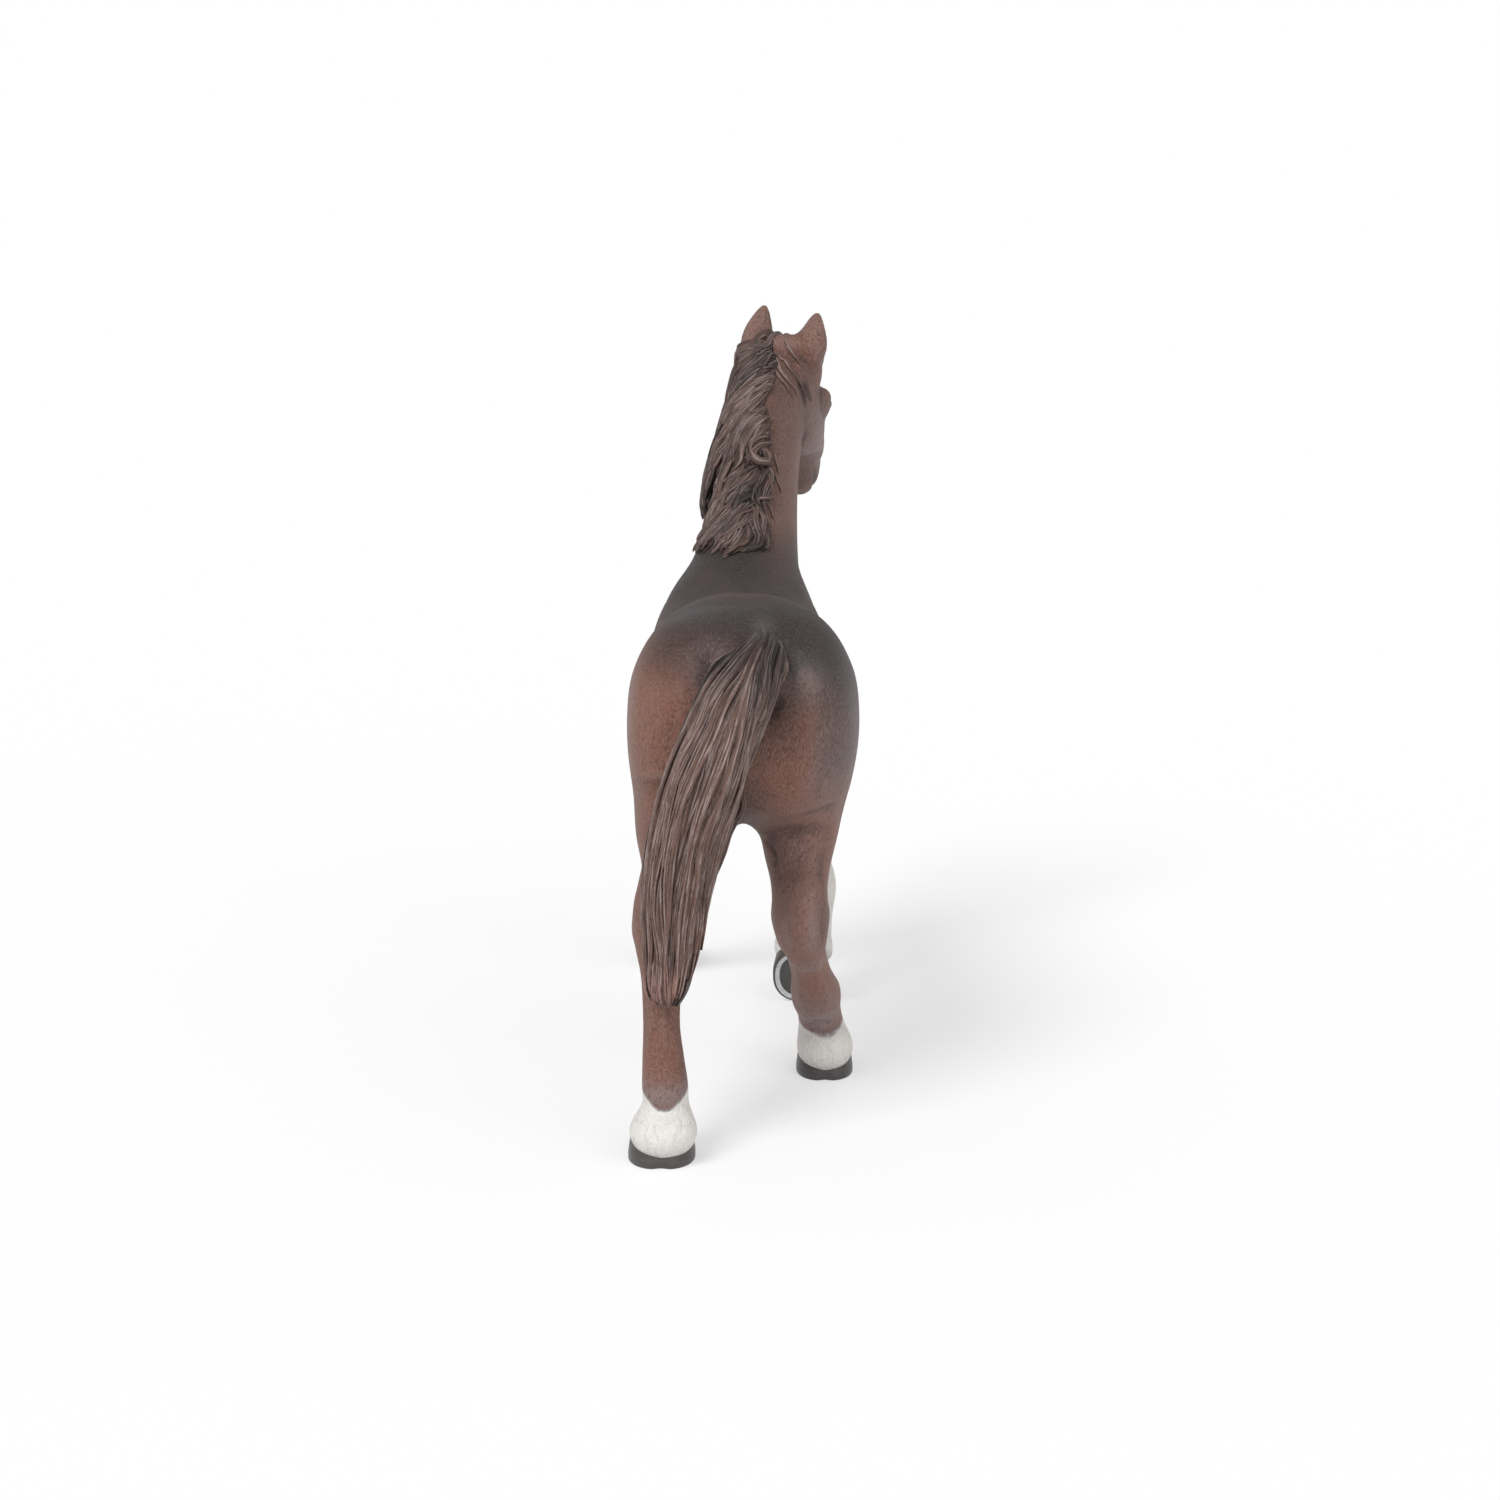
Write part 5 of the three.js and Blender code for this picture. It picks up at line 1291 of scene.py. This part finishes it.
def mane():
    """Each line carries one broad lock and a few narrow ones that slip beside and over it."""
    bundle = Hair()
    for n, line in enumerate(mane_lines):
        tone = 0.30 + 0.22 * math.sin(1.3 * n) + 0.25 * (n in pale_lines)
        lift = 0.35 if n >= over_others else 0.05
        lock_on_neck(bundle, line, dice.uniform(1.7, 2.1), 1.2, 6, tone, lift, 28, 36)
        for _ in range(5):
            lock_on_neck(bundle, line, dice.uniform(0.28, 0.6), dice.uniform(0.5, 0.85), 2,
                         tone + dice.uniform(-0.15, 0.25), dice.uniform(0.45, 0.9), 10, 28,
                         (dice.uniform(0, 0.25), dice.uniform(0.8, 1.03)),
                         (dice.uniform(-0.16, 0.16), dice.uniform(-0.16, 0.16)))
    lock_on_neck(bundle, curl_line, 0.85, 1.2, 3, 0.5, 0.7, 20, 60)
    lock_on_neck(bundle, curl_line, 0.4, 0.9, 1, 0.7, 1.1, 12, 60, slip=(0.06, 0.05))
    for n, line in enumerate(stray_lines):
        for k in range(1 if n < 4 else 3):
            lock_on_neck(bundle, line, 0.26, 0.30, 1, 0.9, 0.0, 10, 26, (0.05 * k, 1 - 0.12 * k),
                         (0.07 * k, 0.07 * k))
    for line in tuft_lines:
        rows = refined(line, 10)
        t = np.linspace(0, 1, len(rows))
        shape = tapered(t, 0.35, 4, 3, 0.1)
        for k in range(3):
            side = 0.55 * (k - 1) * np.sin(np.pi * t)[:, None] * np.array([0.8, 0.0, -0.6])
            bundle.lock(rows + side, np.array([-0.2, -0.75, 0.65]), (0.95 - 0.22 * k) * shape, 0.62 * shape, 3,
                        0.35 + 0.1 * k, 18, sunk=1.2)
    bundle.finish("carved_mane", "mane")


tail_rows = np.concatenate([dock + tail_shares[:, :3] * tail_length, tail_shares[:, 3:5] * tail_width / 2], 1)


def on_tail(places, angles, lift):
    """Points on the ellipses of the tail's core, lifted off it, and the ellipses' normals (cos a / w, sin a / d)."""
    last = len(tail_rows) - 1
    rows, below, above = (between(tail_rows, np.clip(places + k, 0, last)) for k in (0, 0.1, -0.1))
    along = unit(below[:, :3] - above[:, :3])
    side = unit(np.array([1.0, 0, 0]) - along * along[:, :1])
    ahead = np.cross(side, along)
    c, s, width, depth = np.cos(angles), np.sin(angles), rows[:, 3], rows[:, 4]
    out = side * (c * (width + lift))[:, None] + ahead * (s * (depth + lift))[:, None]
    facing = side * (c / np.maximum(width, 0.3))[:, None] + ahead * (s / np.maximum(depth, 0.3))[:, None]
    return rows[:, :3] + out, unit(facing)


# Lines of the tail by their turn round it at each place: nought is the right, -pi/2 the back, -pi the left
tail_places = [1.2, 2.5, 3.1, 3.6, 4.0, 4.6, 5.2, 6.0, 6.9, 7.7, 8.4, 9.0, 9.7, 10.4]
tail_turns = np.array([
    [-1.70, -2.10, -2.40, -2.70, -2.72, -2.75, -2.95, -2.95, -2.75, -2.72, -2.85, -2.80, -2.80, -2.95],
    [-1.60, -1.80, -2.00, -2.30, -2.33, -2.29, -2.46, -2.51, -2.42, -2.46, -2.42, -2.38, -2.38, -2.46],
    [-1.50, -1.60, -1.77, -2.00, -2.07, -2.05, -2.20, -2.25, -2.16, -2.20, -2.12, -2.03, -1.98, -1.98],
    [-1.45, -1.48, -1.55, -1.72, -1.85, -1.81, -1.92, -1.98, -1.90, -1.90, -1.85, -1.81, -1.68, -1.60],
    [-1.40, -1.42, -1.50, -1.58, -1.62, -1.60, -1.58, -1.60, -1.62, -1.66, -1.64, -1.59, -1.51, -1.42],
    [-1.35, -1.40, -1.43, -1.45, -1.40, -1.30, -1.33, -1.40, -1.37, -1.37, -1.42, -1.42, -1.33, -1.29],
    [-1.25, -1.35, -1.36, -1.29, -1.20, -1.05, -0.98, -1.00, -1.00, -0.95, -1.03, -1.07, -1.07, -1.07],
    [-1.10, -1.25, -1.20, -1.03, -0.98, -0.80, -0.65, -0.72, -0.65, -0.65, -0.59, -0.66, -0.72, -0.75],
    [-0.90, -1.10, -0.88, -0.78, -0.76, -0.55, -0.15, -0.35, -0.40, -0.35, -0.33, -0.30, -0.40, -0.50],
    [-0.60, -0.60, -0.42, -0.35, -0.36, -0.48, -0.10, 0.0, 0.0, 0.0, 0.0, 0.0, 0.0, 0.0],
    [-0.20, -0.10, 0.0, 0.1, 0.1, 0.1, 0.3, 0.3, 0.3, 0.3, 0.3, 0.3, 0.3, 0.3],
    [0.5] * 14, [1.1] * 14, [1.6] * 14, [2.1] * 14, [2.65] * 14,
])
# Where each line ends and its tone; those from the twelfth on are at the front
tail_stops = [10.6, 10.75, 10.8, 10.8, 10.75, 10.6, 10.3, 9.6, 8.9, 8.0, 7.5, 9.0, 10.2, 10.6, 10.6, 10.5]
tail_tones = [0.25, 0.5, 0.35, 0.6, 0.2, 0.75, 0.45, 0.3, 0.55, 0.35, 0.3] + [0.4] * 5
front_lines = 11
# The loose lock between the tail and the thigh
loose_lock = [(0.6, -4.5, 60.0), (-0.4, -6.5, 57.0), (-0.2, -6.5, 53.8), (-1.4, -6.5, 51.4), (-2.4, -7.0, 49.4),
              (-3.0, -7.0, 46.7), (-3.9, -7.5, 43.7)]
# Fine locks that lie on the croup from the tail's root
root_wisps = [
    [(3.9, 7.0, 77.6), (1.7, 5.8, 76.0), (-1.3, 5.3, 74.6), (-3.7, 5.2, 73.1), (-5.1, 3.9, 70.6), (-6.1, 1.3, 68.1)],
    [(3.5, 6.3, 76.8), (1.1, 5.2, 75.2), (-1.9, 5.0, 73.3), (-4.0, 4.2, 71.2), (-4.9, 2.1, 68.6)],
    [(3.3, 5.6, 76.1), (1.4, 5.0, 74.0), (-0.7, 4.6, 72.0), (-2.6, 2.9, 69.6)],
    [(4.3, 6.3, 76.8), (5.7, 4.9, 74.7), (6.3, 4.0, 72.7), (5.7, 3.1, 70.5), (5.1, 2.7, 69.1)],
    [(4.0, 6.1, 76.6), (5.0, 4.6, 74.1), (5.4, 3.8, 71.9), (5.3, 3.0, 69.9)],
]


def lock_on_tail(bundle, line, start, stop, half, rise, lift, tone, strands, across, steps, slip=0.0):
    """One lock along a line of the tail, slipped beside it and drawn fine at both ends: dull at the root, pale at
    the tip."""
    t = np.linspace(0, 1, steps)
    places = start + (stop - start) * t
    turns = np.interp(places, tail_places, tail_turns[line])
    for _ in range(3):
        turns[1:-1] = (turns[:-2] + 2 * turns[1:-1] + turns[2:]) / 4
    wander = dice.uniform(0.02, 0.07) * np.sin(dice.uniform(2, 5) * np.pi * t + dice.uniform(0, 6))
    turns = turns + slip * np.sin(np.pi * np.clip(t * 1.1, 0, 1)) + wander
    centre, facing = on_tail(places, turns, lift)
    tone = tone - 0.8 * smooth_step(-places, -5.0, -2.0) + 0.34 + 1.4 * smooth_step(places, 9.0, 10.4)
    scale = np.interp(places, np.arange(len(tail_shares)), tail_shares[:, 3]) ** 0.6
    ends = tapered(t, 0.3, 7, 7, 0.08, 0.7)
    bundle.lock(centre, facing, half * scale * ends, rise * ends**0.6, strands, tone, across)


def tail():
    """A core, then along each line a broad lock sunk into it and narrow ones that slip beside and over it."""
    bundle = Hair()
    core = between(tail_rows, np.linspace(0.0, 10.75, 60))
    bundle.lock(core[:, :3], np.array([0.0, -1.0, 0.2]), core[:, 3] * 0.86, core[:, 4] * 0.8, 9, 0.3, 48, sunk=0.95)
    for line, (stop, tone) in enumerate(zip(tail_stops, tail_tones)):
        half, narrow = (1.5, 6) if line < front_lines else (2.4, 2)
        lock_on_tail(bundle, line, dice.uniform(0.7, 1.0), stop, half, 1.0, -0.62, tone, 4, 24, 80)
        for _ in range(narrow):
            start = dice.uniform(0.8, 4.5)
            end = min(stop, start + dice.uniform(4.5, 9.5))
            lock_on_tail(bundle, line, start, end, dice.uniform(0.24, 0.55), dice.uniform(0.45, 0.7),
                         dice.uniform(-0.12, 0.28), tone + dice.uniform(-0.2, 0.3), 1, 10, 56,
                         dice.uniform(-0.16, 0.16))
    rows = refined(loose_lock, 5)
    shape = tapered(np.linspace(0, 1, len(rows)), 0.3, 5, 3.5, 0.08, 0.7)
    for k, half in enumerate((1.05, 0.7, 0.45)):
        bundle.lock(rows + [0.35 * (k - 1), -0.4 * k, 0], np.array([0.5, -1.0, 0.1]), half * shape, shape, 2,
                    0.15 + 0.2 * k, 16, sunk=0.9)
    for n, line in enumerate(root_wisps):
        # The first three run down to the left and the others to the right.
        facing, upward = (-0.35, 0.7) if n < 3 else (0.2, -0.2)
        facing = np.array([facing, -0.75, 0.55])
        rows = refined(line, 8)
        t = np.linspace(0, 1, len(rows))
        rows = rows + unit(facing) * (0.35 * np.sin(np.pi * np.clip(t + 0.15, 0, 1)) + 0.1)[:, None]
        shape = tapered(t, 0.35, 4, 2.2, 0.08)
        for k in range(3):
            drift = (k - 1) * 0.55 * np.sin(np.pi * t)[:, None] * np.array([0.7, 0.0, upward])
            bundle.lock(rows + drift, facing, (0.55 - 0.1 * k) * shape, 0.5 * shape, 1, 0.5 + 0.25 * k, 12, sunk=0.9)
    bundle.finish("carved_tail", "tail")


mane()
tail()


# ---------------------------------------------------------------- stage, light and camera

def stage():
    """A pale floor that glows a little to the camera, a white world and two suns with soft edges."""
    floor_mesh = bpy.data.meshes.new("floor")
    reach = 6.0
    floor_mesh.from_pydata([(x * reach, y * reach, 0) for x, y in ((-1, -1), (1, -1), (1, 1), (-1, 1))], [],
                           [(0, 1, 2, 3)])
    floor = bpy.data.objects.new("floor", floor_mesh)
    bpy.context.scene.collection.objects.link(floor)
    f = Finish("pale_floor")
    plain = f.make("ShaderNodeBsdfDiffuse", {}, {"Color": (0.86, 0.86, 0.865, 1)})
    glow = f.make("ShaderNodeEmission", {}, {"Color": (1, 1, 1, 1), "Strength": 1.3})
    camera_ray, glossy_ray = (f.make("ShaderNodeLightPath", out=ray) for ray in ("Is Camera Ray", "Is Glossy Ray"))
    seen = (camera_ray + glossy_ray).clear()
    both = f.make("ShaderNodeMixShader", {}, {0: seen * 0.38, 1: plain, 2: glow})
    f.make_output(both)
    floor_mesh.materials.append(f.material)

    world = bpy.data.worlds.new("studio")
    world.use_nodes = True
    bpy.context.scene.world = world
    nodes, links = world.node_tree.nodes, world.node_tree.links
    nodes.clear()
    rays, background, output = (nodes.new(kind) for kind in (
        "ShaderNodeLightPath", "ShaderNodeBackground", "ShaderNodeOutputWorld"))
    strength = nodes.new("ShaderNodeMix")
    strength.data_type = "FLOAT"
    strength.inputs[2].default_value, strength.inputs[3].default_value = 0.46, 1.0
    links.new(rays.outputs["Is Camera Ray"], strength.inputs[0])
    links.new(strength.outputs[0], background.inputs["Strength"])
    background.inputs["Color"].default_value = (1, 1, 1, 1)
    links.new(background.outputs[0], output.inputs["Surface"])

    for name, tilt, strength, spread in (("softbox_above", (0.547, -0.514, 0), 1.65, 25),
                                         ("softbox_right", (0.9, 0.9, 0), 0.8, 60)):
        lamp = bpy.data.lights.new(name, "SUN")
        lamp.energy, lamp.angle = strength, math.radians(spread)
        light = bpy.data.objects.new(name, lamp)
        light.rotation_euler = tilt
        bpy.context.scene.collection.objects.link(light)


def camera():
    """The photograph's view: from behind and a little above."""
    lens = bpy.data.cameras.new("camera")
    lens.sensor_width, lens.lens = 36.0, 64.87
    lens.clip_start, lens.clip_end = 0.01, 20.0
    view = bpy.data.objects.new("camera", lens)
    view.location = (np.array([4.06, -398.6, 145.0]) + drawing_place) / 1000
    view.rotation_euler = (math.pi / 2 - 0.208, 0, 0.007)
    bpy.context.scene.collection.objects.link(view)
    bpy.context.scene.camera = view


stage()
camera()
bpy.context.scene.view_settings.view_transform = "Standard"

bpy.context.view_layer.update()
